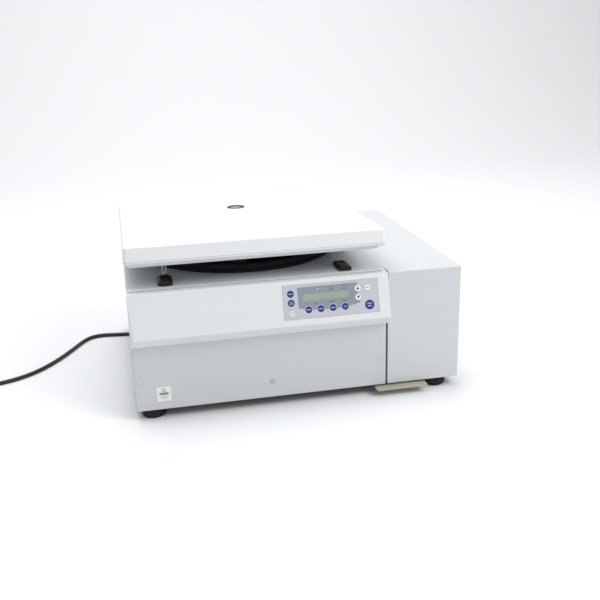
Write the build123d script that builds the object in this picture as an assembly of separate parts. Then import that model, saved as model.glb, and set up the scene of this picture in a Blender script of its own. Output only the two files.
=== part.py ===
"""Refrigerated benchtop centrifuge for microplates: painted steel housing on rubber feet, a spring-hinged
lid over a round rotor chamber, a sloping control fascia with round keys, a cooling bay on the right with
compressor, condenser and fan, a slide-out drip tray, and a swing-out rotor with two plate buckets.

Millimetres. +Z is up, -Y is the front, +X is the operator's right. The origin is on the bench, under the
middle of the machine. The lid stands ajar, as its springs leave it when the locks let go.
"""
from build123d import *
from math import cos, hypot, radians, sin, sqrt, tan
import os

# ---- overall ----
WIDTH = 700.0
DEPTH = 610.0
DECK_HEIGHT = 275.0
LID_RISE = 70.0                # top of the closed lid above the deck
FOOT_HEIGHT = 22.0
FASCIA_REACH = 26.0            # how far the fascia stands in front of the front panel
REAR_REACH = 4.0               # how far the fan guard and inlet stand behind the rear panel
COOLING_BAY_WIDTH = 162.5      # compressor, condenser and fan; the rotor bay takes the rest
BAY_SEAM = 3.5                 # gap between front panel and cooling bay
SHEET = 2.0                    # housing sheet
PANEL_SHEET = 1.5
EDGE_RADIUS = 4.0              # bends of the housing sheet
FIT_GAP = 0.3                  # play between pieces that only meet

# ---- rotor chamber ----
CHAMBER_OFFSET = 10.0          # rotor axis behind the middle of the housing
BOWL_RADIUS = 200.0
BOWL_WALL = 1.5
BOWL_DEPTH = 138.0             # bowl floor below the deck sheet
BOWL_CORNER = 26.0
BOWL_FLANGE = 14.0
SEAL_SEAT = 8.0                # edge of the deck outside the bowl's wall
SEAL_WIDTH = 16.5
SEAL_OVERHANG = 11.5           # seal's flange on the deck
SEAL_HEIGHT = 18.0
SEAL_BASE = 5.5                # height of the seal's lower flange
SEAL_GROOVE = 1.6
INSULATION = 14.0
TUBE_HEIGHT = 9.0              # evaporator tube, flattened
TUBE_DEPTH = 7.0
TUBE_TURNS = 5
GUARD_WALL = 5.0
GUARD_GAP = 1.0
GUARD_LOW = 60.0
FLOOR_HOLE = 24.0              # radius of the shaft opening in the bowl floor

# ---- drive and rotor ----
MOTOR_RADIUS = 62.0
MOTOR_GAP = 15.5               # below the chamber's insulation
MOTOR_FLANGE = 78.0
MOTOR_FLANGE_THICKNESS = 6.0
MOTOR_FINS = 16
MOTOR_FIN = 3.0
MOTOR_FIN_REACH = 6.0
SHAFT_RADIUS = 10.0
SHAFT_FIT = 0.04
HUB_RADIUS = 27.0
HUB_DROP = 54.0                # underside below the trunnion axis
PIVOT_DEPTH = 53.0             # trunnion axis below the deck
PIVOT_REACH = 104.0            # trunnion axis from rotor axis
RAIL_LENGTH = 296.0
RAIL_THICKNESS = 9.0
RAIL_HEIGHT = 34.0
TRUNNION_RADIUS = 6.0
TRUNNION_FIT = 0.08
BRIDGE_WIDTH = 70.0
NUT_RADIUS = 17.0
NUT_HEIGHT = 20.0
PLATE_LENGTH = 127.8           # a standard microplate, which the buckets carry
PLATE_WIDTH = 85.5
PLATE_PLAY = 1.1               # all round, in its bucket
BUCKET_WALL = 2.5
BUCKET_BELOW = 58.0            # from trunnion axis to underside
BUCKET_ABOVE = 10.0
BUCKET_BOSS = 4.5
BUCKET_SIDE_GAP = 1.5
PIN_END_GAP = 0.4
BUCKET_CORNER = 8.0
BUCKET_DIP = 8.0               # depth of the finger dips
BOSS_WALL = 5.0

# ---- fascia ----
FASCIA_WALL = 3.0
FASCIA_TOP_DEPTH = 28.7        # level strip between fascia edge and deck
FASCIA_TOP_DROP = 2.5
FASCIA_BROW_DROP = 91.0        # foremost edge below the deck
FASCIA_FOOT_DROP = 114.0       # where its underside meets the front panel
FASCIA_SHELF_DROP = 102.0
FASCIA_BEVEL = 8.0             # slanted left end
FASCIA_ROUND = 2.5
FASCIA_SEAM = 1.5              # gap between fascia and cooling bay
KEYPAD_WIDTH = 203.0
KEYPAD_HEIGHT = 71.0
KEYPAD_FROM_RIGHT = 21.5       # of the rotor bay
KEYPAD_FROM_TOP = 8.0
OVERLAY = 0.6                  # thickness of the keypad foil
OVERLAY_LEDGE = 4.0
KEY_RADIUS = 7.1
START_KEY_RADIUS = 10.0
KEY_PLAY = 0.25
KEY_PROUD = 0.5
KEY_TRAVEL = 0.5
KEY_FLANGE = 1.0
KEY_STEM_RADIUS = 2.0
BOARD_DEPTH = 6.5              # keypad board behind the fascia's face
BOARD_THICKNESS = 1.6
BOARD_POST_RADIUS = 3.0
LCD_WIDTH = 95.0
LCD_HEIGHT = 11.5
LCD_FROM_LEFT = 43.5
LCD_FROM_TOP = 22.0
LCD_BEZEL = 4.0
# key name: (from keypad's left edge, from its top edge, radius)
KEYS = {
    "key_left_1": (17.0, 18.0, KEY_RADIUS),
    "key_left_2": (17.0, 36.5, KEY_RADIUS),
    "key_left_3": (17.0, 58.0, KEY_RADIUS),
    "key_row_1": (52.5, 53.0, KEY_RADIUS),
    "key_row_2": (78.2, 53.0, KEY_RADIUS),
    "key_row_3": (103.9, 53.0, KEY_RADIUS),
    "key_row_4": (129.6, 53.0, KEY_RADIUS),
    "key_up": (159.0, 18.0, KEY_RADIUS),
    "key_down": (159.0, 36.0, KEY_RADIUS),
    "key_open": (180.0, 18.0, KEY_RADIUS),
    "key_start": (182.0, 54.0, START_KEY_RADIUS),
}

# ---- lid ----
LID_REAR_SETBACK = 17.0        # its rear edge in front of the rear panel
LID_FRONT_SETBACK = 5.0        # closed lid's front edge behind the front panel
LID_SKIRT = 34.0
LID_DRAFT = 2.0                # lean of the skirt, each side
LID_WALL = 3.0
LID_CROWN = 2.0                # the middle of the top stands this much above its edge
LID_BORDER = 46.0
LID_CORNER = 7.0
LID_EDGE_ROUND = 2.2
LINER_FLANGE = 2.5
LINER_FLANGE_INSET = 1.2
LINER_FRONT_INSET = 22.0
LINER_SIDE_INSET = 5.0
LINER_REAR_INSET = 32.0
LINER_RISE = 23.0              # underside above the deck
LINER_WALL = 2.5
LINER_DRAFT = 2.0
SEAL_DISC_MARGIN = 6.0         # beyond the deck opening
SEAL_CLEARANCE = 0.4           # between lid disc and chamber seal
PORT_X_OFFSET = 9.4            # viewing port from rotor axis
PORT_Y_OFFSET = 79.5
PORT_RADIUS = 16.0
PORT_WALL = 2.5
PORT_LIP = 2.6
WINDOW_THICKNESS = 3.0
AJAR_ANGLE = 2.3

# ---- hinges ----
HINGE_INSET = 69.0             # each hinge from the rotor bay's side
HINGE_SETBACK = 24.0           # hinge axis in front of the rear panel
HINGE_RISE = 18.0              # hinge axis above the deck
HINGE_PIN_RADIUS = 4.0
HINGE_FIT = 0.06
EAR_RADIUS = 9.5
EAR_THICKNESS = 4.0
EAR_GAP = 38.0
BRACKET_SHEET = 3.0
BRACKET_DEPTH = 34.0
BRACKET_MARGIN = 8.0
KNUCKLE_RADIUS = 8.0
KNUCKLE_WIDTH = 16.0
ARM_WEB_REACH = 18.0
ARM_PAD_MARGIN = 10.0
ARM_PAD = 3.0                  # thickness
ARM_GAP = 0.9                  # in front of the lid's rear wall
SPRING_WIRE = 2.4
SPRING_TURNS = 3
PIN_HEAD = 1.5

# ---- lid locks ----
LOCK_INSET = 80.0              # each lock from the rotor bay's side
LOCK_SETBACK = 67.0            # striker behind the front panel
STRIKER_WIDTH = 9.0
STRIKER_THICKNESS = 4.0
STRIKER_REACH = 25.5           # below the lid's liner
STRIKER_SLANT = 3.0            # its inner lower corner above its outer one
STRIKER_WINDOW_WIDTH = 4.4
STRIKER_BRIDGE = 2.0           # between its window and its pad
STRIKER_PAD = 2.5
STRIKER_PAD_WIDTH = 22.0
STRIKER_PAD_DEPTH = 14.0
LOCK_COVER_WIDTH = 29.0
LOCK_COVER_FRONT = 32.0        # behind the front panel
LOCK_COVER_REAR = 90.5
LOCK_COVER_HEIGHT = 9.0
LOCK_COVER_BEVEL = 5.0
LOCK_COVER_CORNER = 7.0
LOCK_SLOT_WIDTH = 12.0
LOCK_SLOT_LENGTH = 9.0
BOLT_HEIGHT = 4.0
BOLT_RISE = 2.0                # underside above the deck
BOLT_NOSE_WIDTH = 3.6
BOLT_NOSE_LENGTH = 9.0
BOLT_BODY_WIDTH = 17.0
BOLT_BODY_LENGTH = 8.0
BOLT_TRAVEL = 7.5
BOLT_PLAY = 0.4
BOLT_TONGUE_WIDTH = 6.0
BOLT_TONGUE_DEPTH = 12.0       # below the bolt's underside
LOCK_MOTOR_HEIGHT = 36.0
LOCK_MOTOR_WIDTH = 30.0
GEARMOTOR_LENGTH = 23.0

# ---- drip tray ----
TRAY_WIDTH = 108.0
TRAY_DEPTH = 186.0
TRAY_FROM_RIGHT = 134.0        # tray's middle
TRAY_DROP = 4.0                # rim below the base
TRAY_TALL = 10.0
TRAY_WALL = 2.0
TRAY_RIM = 5.0
TRAY_RIM_THICKNESS = 2.0
TRAY_LIP_REACH = 20.0
TRAY_LIP_WIDTH = 115.0
TRAY_LIP_THICKNESS = 3.2
TRAY_LIP_CORNER = 6.0
TRAY_PLAY = 0.5
RAIL_SHEET = 1.5

# ---- feet and base ----
FOOT_RADIUS = 25.0
FOOT_INSET_LEFT = 36.0
FOOT_INSET_RIGHT = 46.0
FOOT_INSET_Y = 30.0
FOOT_ROUND = 5.0
BASE_SHEET = 2.0
BASE_FLANGE = 15.0
PLUG_RADIUS = 5.5
PLUG_PROUD = 0.5
PLUG_INSET = 12.5
PLUG_HEIGHT = 86.0
MIDDLE_PLUG_OFFSET = 17.0      # right of the rotor axis
MIDDLE_PLUG_HEIGHT = 56.6

# ---- cooling bay ----
COMPRESSOR_RADIUS = 66.0
COMPRESSOR_HEIGHT = 150.0
COMPRESSOR_FROM_FRONT = 170.0
COMPRESSOR_SEAM = 5.0
TERMINAL_BOX_WIDTH = 44.0
TERMINAL_BOX_DEPTH = 16.0
TERMINAL_BOX_TALL = 38.0
TERMINAL_BOX_RISE = 30.0
STUB_PIPE_RADIUS = 4.0
STUB_PIPE_RISE = 22.0
STUB_PIPE_SPACING = 28.0
MOUNT_HEIGHT = 12.0
MOUNT_RADIUS = 11.0
CONDENSER_MARGIN = 8.25        # each side, in the cooling bay
CONDENSER_LEGS = 20.0
CONDENSER_TUBES = 5
CONDENSER_HEIGHT = 164.0
CONDENSER_DEPTH = 30.0
CONDENSER_FROM_REAR = 92.0
CONDENSER_FINS = 15
CONDENSER_FIN = 1.0
CONDENSER_TUBE_RADIUS = 4.0
FAN_RADIUS = 58.0
FAN_HUB_RADIUS = 21.0
FAN_DEPTH = 20.0
FAN_BLADES = 7
FAN_HEIGHT = 150.0
FAN_TIP_GAP = 3.0
SHROUD_WALL = 2.5
SHROUD_DEPTH = 40.0
GUARD_RING_STEP = 9.5
GUARD_STRIP = 1.8
GUARD_SPOKES = 6
FAN_MOTOR_RADIUS = 17.0
FAN_MOTOR_LENGTH = 16.0
FAN_SHAFT_RADIUS = 2.5
FAN_SHAFT_FIT = 0.05
LOUVRE_LENGTH = 120.0
LOUVRE_HEIGHT = 4.0
LOUVRE_PITCH = 12.0
LOUVRE_COUNT = 10
LOUVRE_LOW = 70.0
REAR_SLOT_LENGTH = 90.0
REAR_SLOT_COUNT = 7
REAR_SLOT_STEP = 120.0         # between the two columns

# ---- drive board ----
DRIVE_BOARD_WIDTH = 170.0
DRIVE_BOARD_TALL = 110.0
DRIVE_BOARD_FROM_LEFT = 60.0
DRIVE_BOARD_SETBACK = 14.0
CAPACITOR_RADIUS = 11.0
CAPACITOR_LENGTH = 32.0
CAPACITOR_PITCH = 28.0
CAPACITOR_COUNT = 3
HEAT_SINK_WIDTH = 52.0
HEAT_SINK_TALL = 80.0
HEAT_SINK_DEPTH = 28.0
HEAT_SINK_BASE = 6.0
HEAT_SINK_FINS = 7
HEAT_SINK_FIN = 2.0
BOARD_MARGIN = 12.0

# ---- power entry ----
INLET_FROM_LEFT = 215.0
INLET_HEIGHT = 72.0
INLET_WIDTH = 30.0
INLET_TALL = 24.0
INLET_FLANGE = 6.0
INLET_SETBACK = 22.0           # depth of the socket behind the rear panel
ROCKER_RISE = 44.0             # rocker's centre above the inlet's
ROCKER_WIDTH = 24.0
ROCKER_TALL = 20.0
ROCKER_TILT = 9.0
ROCKER_PIN_RADIUS = 1.2
ROCKER_PIN_FIT = 0.06

# ---- mains lead ----
LEAD_DIAMETER = 9.0
CONNECTOR_LENGTH = 44.0
CONNECTOR_WIDTH = 28.0
CONNECTOR_TALL = 22.0
RELIEF_LENGTH = 30.0
RELIEF_RADIUS = 7.0
COIL_FROM_INLET = (-627.0, -262.7)   # its centre from where the lead leaves the rear panel
COIL_TURNS_WIDE = 2
COIL_TURNS_HIGH = 2
COIL_RADIUS = 54.0             # middle of the turns
PLUG_ACROSS = 35.0             # plug's line behind the coil's centre
PLUG_FACE_RADIUS = 18.0
PLUG_FACE = 14.0
PLUG_GRIP_RADIUS = 12.0
PLUG_GRIP = 27.0
PLUG_PIN_RADIUS = 2.4
PLUG_PIN_LENGTH = 19.0
PLUG_PIN_SPACING = 19.0

# ---- worked out ----
left = -WIDTH / 2
right = WIDTH / 2
front = -DEPTH / 2 + FASCIA_REACH
rear = DEPTH / 2 - REAR_REACH
cooling_left = right - COOLING_BAY_WIDTH
bay_right = cooling_left - BAY_SEAM
rotor_bay_width = bay_right - left
cooling_x = (cooling_left + right) / 2
axis_x = (left + bay_right) / 2
axis_y = (front + rear) / 2 + CHAMBER_OFFSET
deck_front = front + FASCIA_TOP_DEPTH
deck_low = DECK_HEIGHT - SHEET
base_top = FOOT_HEIGHT + BASE_SHEET
seal_top = DECK_HEIGHT + SEAL_HEIGHT
lid_front = front + LID_FRONT_SETBACK
lid_rear = rear - LID_REAR_SETBACK
lid_depth = lid_rear - lid_front
lid_top = DECK_HEIGHT + LID_RISE
lid_edge_z = lid_top - LID_CROWN
liner_bottom = DECK_HEIGHT + LINER_RISE
skirt_low = lid_edge_z - LID_SKIRT + LID_CROWN
hinge_y = rear - HINGE_SETBACK
hinge_z = DECK_HEIGHT + HINGE_RISE
hinge_xs = (left + HINGE_INSET, bay_right - HINGE_INSET)
lock_xs = (left + LOCK_INSET, bay_right - LOCK_INSET)
lock_y = front + LOCK_SETBACK
tray_x = right - TRAY_FROM_RIGHT
tray_top = FOOT_HEIGHT - TRAY_DROP
tray_bottom = tray_top - TRAY_TALL
feet_at = [(x, y) for x in (left + FOOT_INSET_LEFT, right - FOOT_INSET_RIGHT)
           for y in (front + FOOT_INSET_Y, rear - FOOT_INSET_Y)]
plugs_at = ((left + PLUG_INSET, PLUG_HEIGHT), (bay_right - PLUG_INSET, PLUG_HEIGHT),
            (axis_x + MIDDLE_PLUG_OFFSET, MIDDLE_PLUG_HEIGHT))
bucket_length = PLATE_LENGTH + 2 * PLATE_PLAY + 2 * BUCKET_WALL
bucket_width = PLATE_WIDTH + 2 * PLATE_PLAY + 2 * BUCKET_WALL
rail_inner = bucket_length / 2 + BUCKET_BOSS + BUCKET_SIDE_GAP
rotor_axis = Pos(axis_x, axis_y, 0)
bowl_floor = deck_low - BOWL_DEPTH
deck_opening = BOWL_RADIUS + SEAL_SEAT
motor_top = bowl_floor - BOWL_WALL - INSULATION - MOTOR_GAP
motor_bottom = base_top + MOUNT_HEIGHT
pivot_height = DECK_HEIGHT - PIVOT_DEPTH
hub_low = pivot_height - HUB_DROP
fascia_brow = DECK_HEIGHT - FASCIA_BROW_DROP
fascia_shelf = DECK_HEIGHT - FASCIA_SHELF_DROP
condenser_width = right - cooling_left - 2 * CONDENSER_MARGIN
inlet_x = left + INLET_FROM_LEFT
fan_axis = (cooling_x, FAN_HEIGHT)

os.makedirs("parts", exist_ok=True)


# ---- helpers ----
def block(x, y, z):
    """A box from (low, high) pairs."""
    return Pos((x[0] + x[1]) / 2, (y[0] + y[1]) / 2, (z[0] + z[1]) / 2) * Box(
        x[1] - x[0], y[1] - y[0], z[1] - z[0])


def rod_z(radius, low, high, x=0.0, y=0.0):
    return Pos(x, y, (low + high) / 2) * Cylinder(radius, high - low)


def rod_x(radius, low, high, y=0.0, z=0.0):
    return Pos((low + high) / 2, y, z) * Rot(0, 90, 0) * Cylinder(radius, high - low)


def rod_y(radius, low, high, x=0.0, z=0.0):
    return Pos(x, (low + high) / 2, z) * Rot(90, 0, 0) * Cylinder(radius, high - low)


def along_x(points, low, high):
    """A closed (y, z) outline carried along X."""
    outline = [(low, y, z) for y, z in points]
    return extrude(make_face(Polyline(*outline, close=True)), amount=high - low, dir=(1, 0, 0))


def turned(points):
    """A closed (radius, z) outline turned about the rotor axis."""
    outline = [(r, 0, z) for r, z in points]
    return rotor_axis * revolve(make_face(Polyline(*outline, close=True)), Axis.Z)


def rounded_plate(width, depth, corner, low, high, x=0.0, y=0.0):
    return Pos(x, y, low) * extrude(RectangleRounded(width, depth, corner), amount=high - low)


def ajar(shape):
    """Swings a lid piece from closed to ajar about the hinge axis."""
    return shape.rotate(Axis((0, hinge_y, hinge_z), (1, 0, 0)), -AJAR_ANGLE)


def pair(make, places):
    return Compound(children=[make(place) for place in places])


def save(name, shape):
    export_step(shape, f"parts/{name}.step")


# ---- housing ----
def base_pan():
    """Floor of the housing, with upturned side flanges and the two rails that carry the drip tray."""
    low_x = left + SHEET + FIT_GAP
    high_x = right - SHEET - FIT_GAP
    front_y = front + SHEET + FIT_GAP
    rear_y = rear - SHEET - FIT_GAP
    pan = block((low_x, high_x), (front_y, rear_y), (FOOT_HEIGHT, base_top))
    for x0 in (low_x, high_x - BASE_SHEET):
        pan += block((x0, x0 + BASE_SHEET), (deck_front + FIT_GAP, rear_y), (base_top, base_top + BASE_FLANGE))
    half = TRAY_WIDTH / 2
    lip_top = tray_top - TRAY_RIM_THICKNESS - TRAY_PLAY
    for side in (-1, 1):
        inner = tray_x + side * (half - TRAY_RIM + TRAY_PLAY)
        outer = tray_x + side * (half + TRAY_PLAY)
        wall = outer + side * RAIL_SHEET
        span = (front_y, front + TRAY_DEPTH)
        pan += block(sorted((outer, wall)), span, (lip_top - RAIL_SHEET, FOOT_HEIGHT))
        pan += block(sorted((inner, wall)), span, (lip_top - RAIL_SHEET, lip_top))
    return pan


def foot(place):
    """Rubber foot: a puck with a drawn-in, rounded lower edge."""
    puck = rod_z(FOOT_RADIUS, 0, FOOT_HEIGHT, *place)
    return fillet(puck.edges().group_by(Axis.Z)[0], FOOT_ROUND)


def top_hood():
    """Bent steel cover: deck, both side walls and the front of the cooling bay."""
    hood = block((left, right), (front, rear), (FOOT_HEIGHT, DECK_HEIGHT))
    bends = hood.edges().filter_by(Axis.Y).group_by(Axis.Z)[-1]
    bends += hood.edges().filter_by(Axis.X).group_by(Axis.Z)[-1].sort_by(Axis.Y)[:1]
    bends += hood.edges().filter_by(Axis.Z).group_by(Axis.Y)[0]
    hood = fillet(bends, EDGE_RADIUS)
    hood -= block((left + SHEET, right - SHEET), (front + SHEET, rear + 1), (FOOT_HEIGHT - 1, deck_low))
    hood -= block((left - 1, cooling_left), (front - 1, deck_front), (FOOT_HEIGHT - 1, DECK_HEIGHT + 1))
    hood += block((cooling_left, cooling_left + SHEET), (front + SHEET - 0.5, deck_front),
                  (base_top + FIT_GAP, deck_low + 0.5))
    hood -= rod_z(deck_opening, deck_low - 1, DECK_HEIGHT + 1, axis_x, axis_y)
    for x in lock_xs:
        hood -= block((x - LOCK_SLOT_WIDTH / 2, x + LOCK_SLOT_WIDTH / 2), lock_well_y(), (deck_low - 1, DECK_HEIGHT + 1))
    slot = extrude(Plane.YZ * SlotOverall(LOUVRE_LENGTH, LOUVRE_HEIGHT), amount=3 * SHEET, both=True)
    for row in range(LOUVRE_COUNT):
        hood -= Pos(right, axis_y, LOUVRE_LOW + row * LOUVRE_PITCH) * slot
    return hood


def front_panel():
    """Lower front cover: a shallow pan with its left edge bent back to meet the side wall."""
    top = fascia_shelf - FIT_GAP
    panel = block((left, bay_right), (front, deck_front - FIT_GAP), (FOOT_HEIGHT, top))
    panel = fillet(panel.edges().filter_by(Axis.Z).group_by(Axis.Y)[0], EDGE_RADIUS)
    panel -= block((left + PANEL_SHEET, bay_right - PANEL_SHEET), (front + PANEL_SHEET, rear),
                   (FOOT_HEIGHT - 1, top + 1))
    panel -= block((bay_right - PANEL_SHEET - 1, bay_right + 1), (front + PANEL_SHEET, rear),
                   (FOOT_HEIGHT - 1, base_top + FIT_GAP))
    for place in plugs_at:
        panel -= rod_y(PLUG_RADIUS, front - 1, front + PANEL_SHEET + 1, *place)
    return panel


def panel_plug(place):
    """Cap that closes a fixing hole of the front panel: a flat head on a hollow spigot."""
    head = rod_y(PLUG_RADIUS + 1.5, front - PLUG_PROUD, front, *place)
    head = fillet(head.edges().group_by(Axis.Y)[0], PLUG_PROUD * 0.6)
    spigot = rod_y(PLUG_RADIUS - FIT_GAP / 2, front, front + PANEL_SHEET + 4, *place)
    bore = rod_y(PLUG_RADIUS - 1.6, front + 1, front + PANEL_SHEET + 5, *place)
    return head + spigot - bore


def rear_panel():
    """Flat rear wall with cooling slots, the fan opening and the power entry cut-outs."""
    low_x, high_x = left + SHEET + FIT_GAP, right - SHEET - FIT_GAP
    panel = block((low_x, high_x), (rear - SHEET, rear), (FOOT_HEIGHT, deck_low - FIT_GAP))
    panel -= rod_y(FAN_RADIUS + FAN_TIP_GAP, rear - SHEET - 1, rear + 1, *fan_axis)
    x = inlet_x
    for z, wide, tall in ((INLET_HEIGHT, INLET_WIDTH, INLET_TALL), (rocker_z(), ROCKER_WIDTH, ROCKER_TALL)):
        panel -= block((x - wide / 2 - FIT_GAP, x + wide / 2 + FIT_GAP), (rear - SHEET - 1, rear + 1),
                       (z - tall / 2 - FIT_GAP, z + tall / 2 + FIT_GAP))
    slot = extrude(Plane.XZ * SlotOverall(REAR_SLOT_LENGTH, LOUVRE_HEIGHT), amount=3 * SHEET, both=True)
    middle = (inlet_x + INLET_WIDTH / 2 + INLET_FLANGE + bay_right) / 2
    for x in (middle - REAR_SLOT_STEP / 2, middle + REAR_SLOT_STEP / 2):
        for row in range(REAR_SLOT_COUNT):
            panel -= Pos(x, rear, INLET_HEIGHT + row * LOUVRE_PITCH) * slot
    return panel


# ---- fascia and keypad ----
fascia_top_z = DECK_HEIGHT - FASCIA_TOP_DROP
slope = hypot(FASCIA_REACH, fascia_top_z - fascia_brow)
outward = Vector(0, -(fascia_top_z - fascia_brow) / slope, FASCIA_REACH / slope)
board_post_x = KEYPAD_WIDTH / 2 + BOARD_POST_RADIUS
board_post_y = KEYPAD_HEIGHT / 2 - 3 * BOARD_POST_RADIUS
keypad_corner = (bay_right - KEYPAD_FROM_RIGHT - KEYPAD_WIDTH, front, fascia_top_z)
keypad_plane = Plane(origin=keypad_corner, x_dir=(1, 0, 0), z_dir=outward)


def on_keypad(x, down, height=0.0):
    """Location on the fascia's face, x from the keypad's left edge and down from its top edge."""
    return keypad_plane * Pos(x, -KEYPAD_FROM_TOP - down, height)


def left_bevel(wall):
    """What the fascia's slanted left end leaves out, taken this much further right."""
    edge = left + wall
    outline = [(left - 1, front), (edge, front), (edge + FASCIA_BEVEL, front - FASCIA_REACH),
               (edge + FASCIA_BEVEL, front - FASCIA_REACH - 1), (left - 1, front - FASCIA_REACH - 1)]
    return extrude(make_face(Polyline(*[(x, y, 0) for x, y in outline], close=True)), amount=DECK_HEIGHT + 1)


def control_fascia():
    """Moulded sloping cover with a level top strip, a bevelled left end and a sunk keypad seat."""
    back = deck_front - FIT_GAP
    outline = [(back, DECK_HEIGHT), (front, fascia_top_z), (front - FASCIA_REACH, fascia_brow),
               (front, DECK_HEIGHT - FASCIA_FOOT_DROP), (front, fascia_shelf), (back, fascia_shelf)]
    high_x = cooling_left - FASCIA_SEAM
    shell = along_x(outline, left, high_x)
    long_edges = shell.edges().filter_by(Axis.X)
    ridge = [e for e in long_edges if e.center().Y < front + 0.1 and e.center().Z > fascia_shelf + 1]
    shell = fillet(ridge, FASCIA_ROUND)
    inner = offset(make_face(Polyline(*[(left, y, z) for y, z in outline], close=True)), -FASCIA_WALL)
    hollow = Pos(FASCIA_WALL, 0, 0) * extrude(inner, amount=high_x - left - 2 * FASCIA_WALL, dir=(1, 0, 0))
    shell -= hollow - left_bevel(FASCIA_WALL * 1.1)
    shell -= block((left + FASCIA_WALL, high_x - FASCIA_WALL), (back - FASCIA_WALL - 1, back + 1),
                   (fascia_shelf + FASCIA_WALL, DECK_HEIGHT - FASCIA_WALL))
    shell -= left_bevel(0)
    seat = on_keypad(KEYPAD_WIDTH / 2, KEYPAD_HEIGHT / 2)
    shell -= seat * Pos(0, 0, -OVERLAY) * extrude(Rectangle(KEYPAD_WIDTH, KEYPAD_HEIGHT), amount=2)
    window = Rectangle(KEYPAD_WIDTH - 2 * OVERLAY_LEDGE, KEYPAD_HEIGHT - 2 * OVERLAY_LEDGE)
    shell -= seat * extrude(window, amount=2 * FASCIA_WALL, both=True)
    for x in (-board_post_x, board_post_x):
        for down in (-board_post_y, board_post_y):
            post = extrude(Circle(BOARD_POST_RADIUS), amount=BOARD_DEPTH - FASCIA_WALL / 2)
            shell += seat * Pos(x, down, -BOARD_DEPTH) * post
    return shell


def keypad_overlay():
    """Printed foil on the keypad seat, cut out for the keys and the display."""
    foil = Rectangle(KEYPAD_WIDTH - 0.2, KEYPAD_HEIGHT - 0.2)
    centre = (KEYPAD_WIDTH / 2, KEYPAD_HEIGHT / 2)
    for x, down, radius in KEYS.values():
        foil -= Pos(x - centre[0], centre[1] - down) * Circle(radius + KEY_PLAY)
    foil -= Pos(*lcd_from(centre)) * Rectangle(LCD_WIDTH, LCD_HEIGHT)
    return on_keypad(*centre) * Pos(0, 0, -OVERLAY) * extrude(foil, amount=OVERLAY)


def lcd_from(centre):
    return (LCD_FROM_LEFT + LCD_WIDTH / 2 - centre[0], centre[1] - LCD_FROM_TOP - LCD_HEIGHT / 2)


def display_module():
    """Liquid crystal display: a frame on the board with the glass raised into the foil's window."""
    place = on_keypad(LCD_FROM_LEFT + LCD_WIDTH / 2, LCD_FROM_TOP + LCD_HEIGHT / 2)
    frame_top = -OVERLAY - FIT_GAP
    frame = extrude(Rectangle(LCD_WIDTH + 2 * LCD_BEZEL, LCD_HEIGHT + LCD_BEZEL), amount=BOARD_DEPTH + frame_top)
    glass = extrude(Rectangle(LCD_WIDTH - FIT_GAP, LCD_HEIGHT - FIT_GAP), amount=-frame_top - OVERLAY / 3)
    return place * (Pos(0, 0, -BOARD_DEPTH) * frame + Pos(0, 0, frame_top) * glass)


def keypad_board():
    """Circuit board behind the keypad, with a dome switch under each key."""
    centre = (KEYPAD_WIDTH / 2, KEYPAD_HEIGHT / 2)
    wide, tall = 2 * (board_post_x + BOARD_POST_RADIUS), 2 * (board_post_y + BOARD_POST_RADIUS)
    board = Pos(0, 0, -BOARD_DEPTH - BOARD_THICKNESS) * extrude(Rectangle(wide, tall), amount=BOARD_THICKNESS)
    switch_top = key_low() - KEY_TRAVEL - 0.1
    for x, down, _ in KEYS.values():
        switch = extrude(Rectangle(6, 6), amount=BOARD_DEPTH + switch_top)
        board += Pos(x - centre[0], centre[1] - down, -BOARD_DEPTH) * switch
    return on_keypad(*centre) * board


def key_low():
    """Depth of a key's stem below the fascia's face."""
    return -OVERLAY - 0.1 - KEY_FLANGE - 1.5


def key(x, down, radius):
    """Round key cap with a hidden flange under the foil and a stem over its switch."""
    flange_top = -OVERLAY - 0.1
    cap = Pos(0, 0, flange_top) * extrude(Circle(radius), amount=KEY_PROUD - flange_top)
    cap = fillet(cap.edges().group_by(Axis.Z)[-1], KEY_PROUD * 0.6)
    flange = Pos(0, 0, flange_top - KEY_FLANGE) * extrude(Circle(radius + 1), amount=KEY_FLANGE)
    stem = Pos(0, 0, key_low()) * extrude(Circle(KEY_STEM_RADIUS), amount=flange_top - KEY_FLANGE - key_low())
    return on_keypad(x, down) * (cap + flange + stem)


# ---- rotor chamber ----
def chamber_bowl():
    """Deep-drawn stainless bowl with a rolled flange under the deck and a shaft opening in its floor."""
    outer = BOWL_RADIUS + BOWL_WALL
    rim = outer + BOWL_FLANGE
    skin = [(rim, deck_low), (BOWL_RADIUS, deck_low), (BOWL_RADIUS, bowl_floor), (FLOOR_HOLE, bowl_floor),
            (FLOOR_HOLE, bowl_floor - BOWL_WALL), (outer, bowl_floor - BOWL_WALL),
            (outer, deck_low - BOWL_WALL), (rim, deck_low - BOWL_WALL)]
    face = make_face(Polyline(*[(r, 0, z) for r, z in skin], close=True))
    corners = [v for v in face.vertices() if v.Z < bowl_floor + 0.1 and v.X > BOWL_RADIUS - 1]
    inner, lower = corners if corners[0].Z > corners[1].Z else corners[::-1]
    face = fillet([inner], BOWL_CORNER)
    lower = [v for v in face.vertices() if v.Z < bowl_floor - 0.1 and v.X > BOWL_RADIUS]
    return rotor_axis * revolve(fillet(lower, BOWL_CORNER + BOWL_WALL), Axis.Z)


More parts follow.
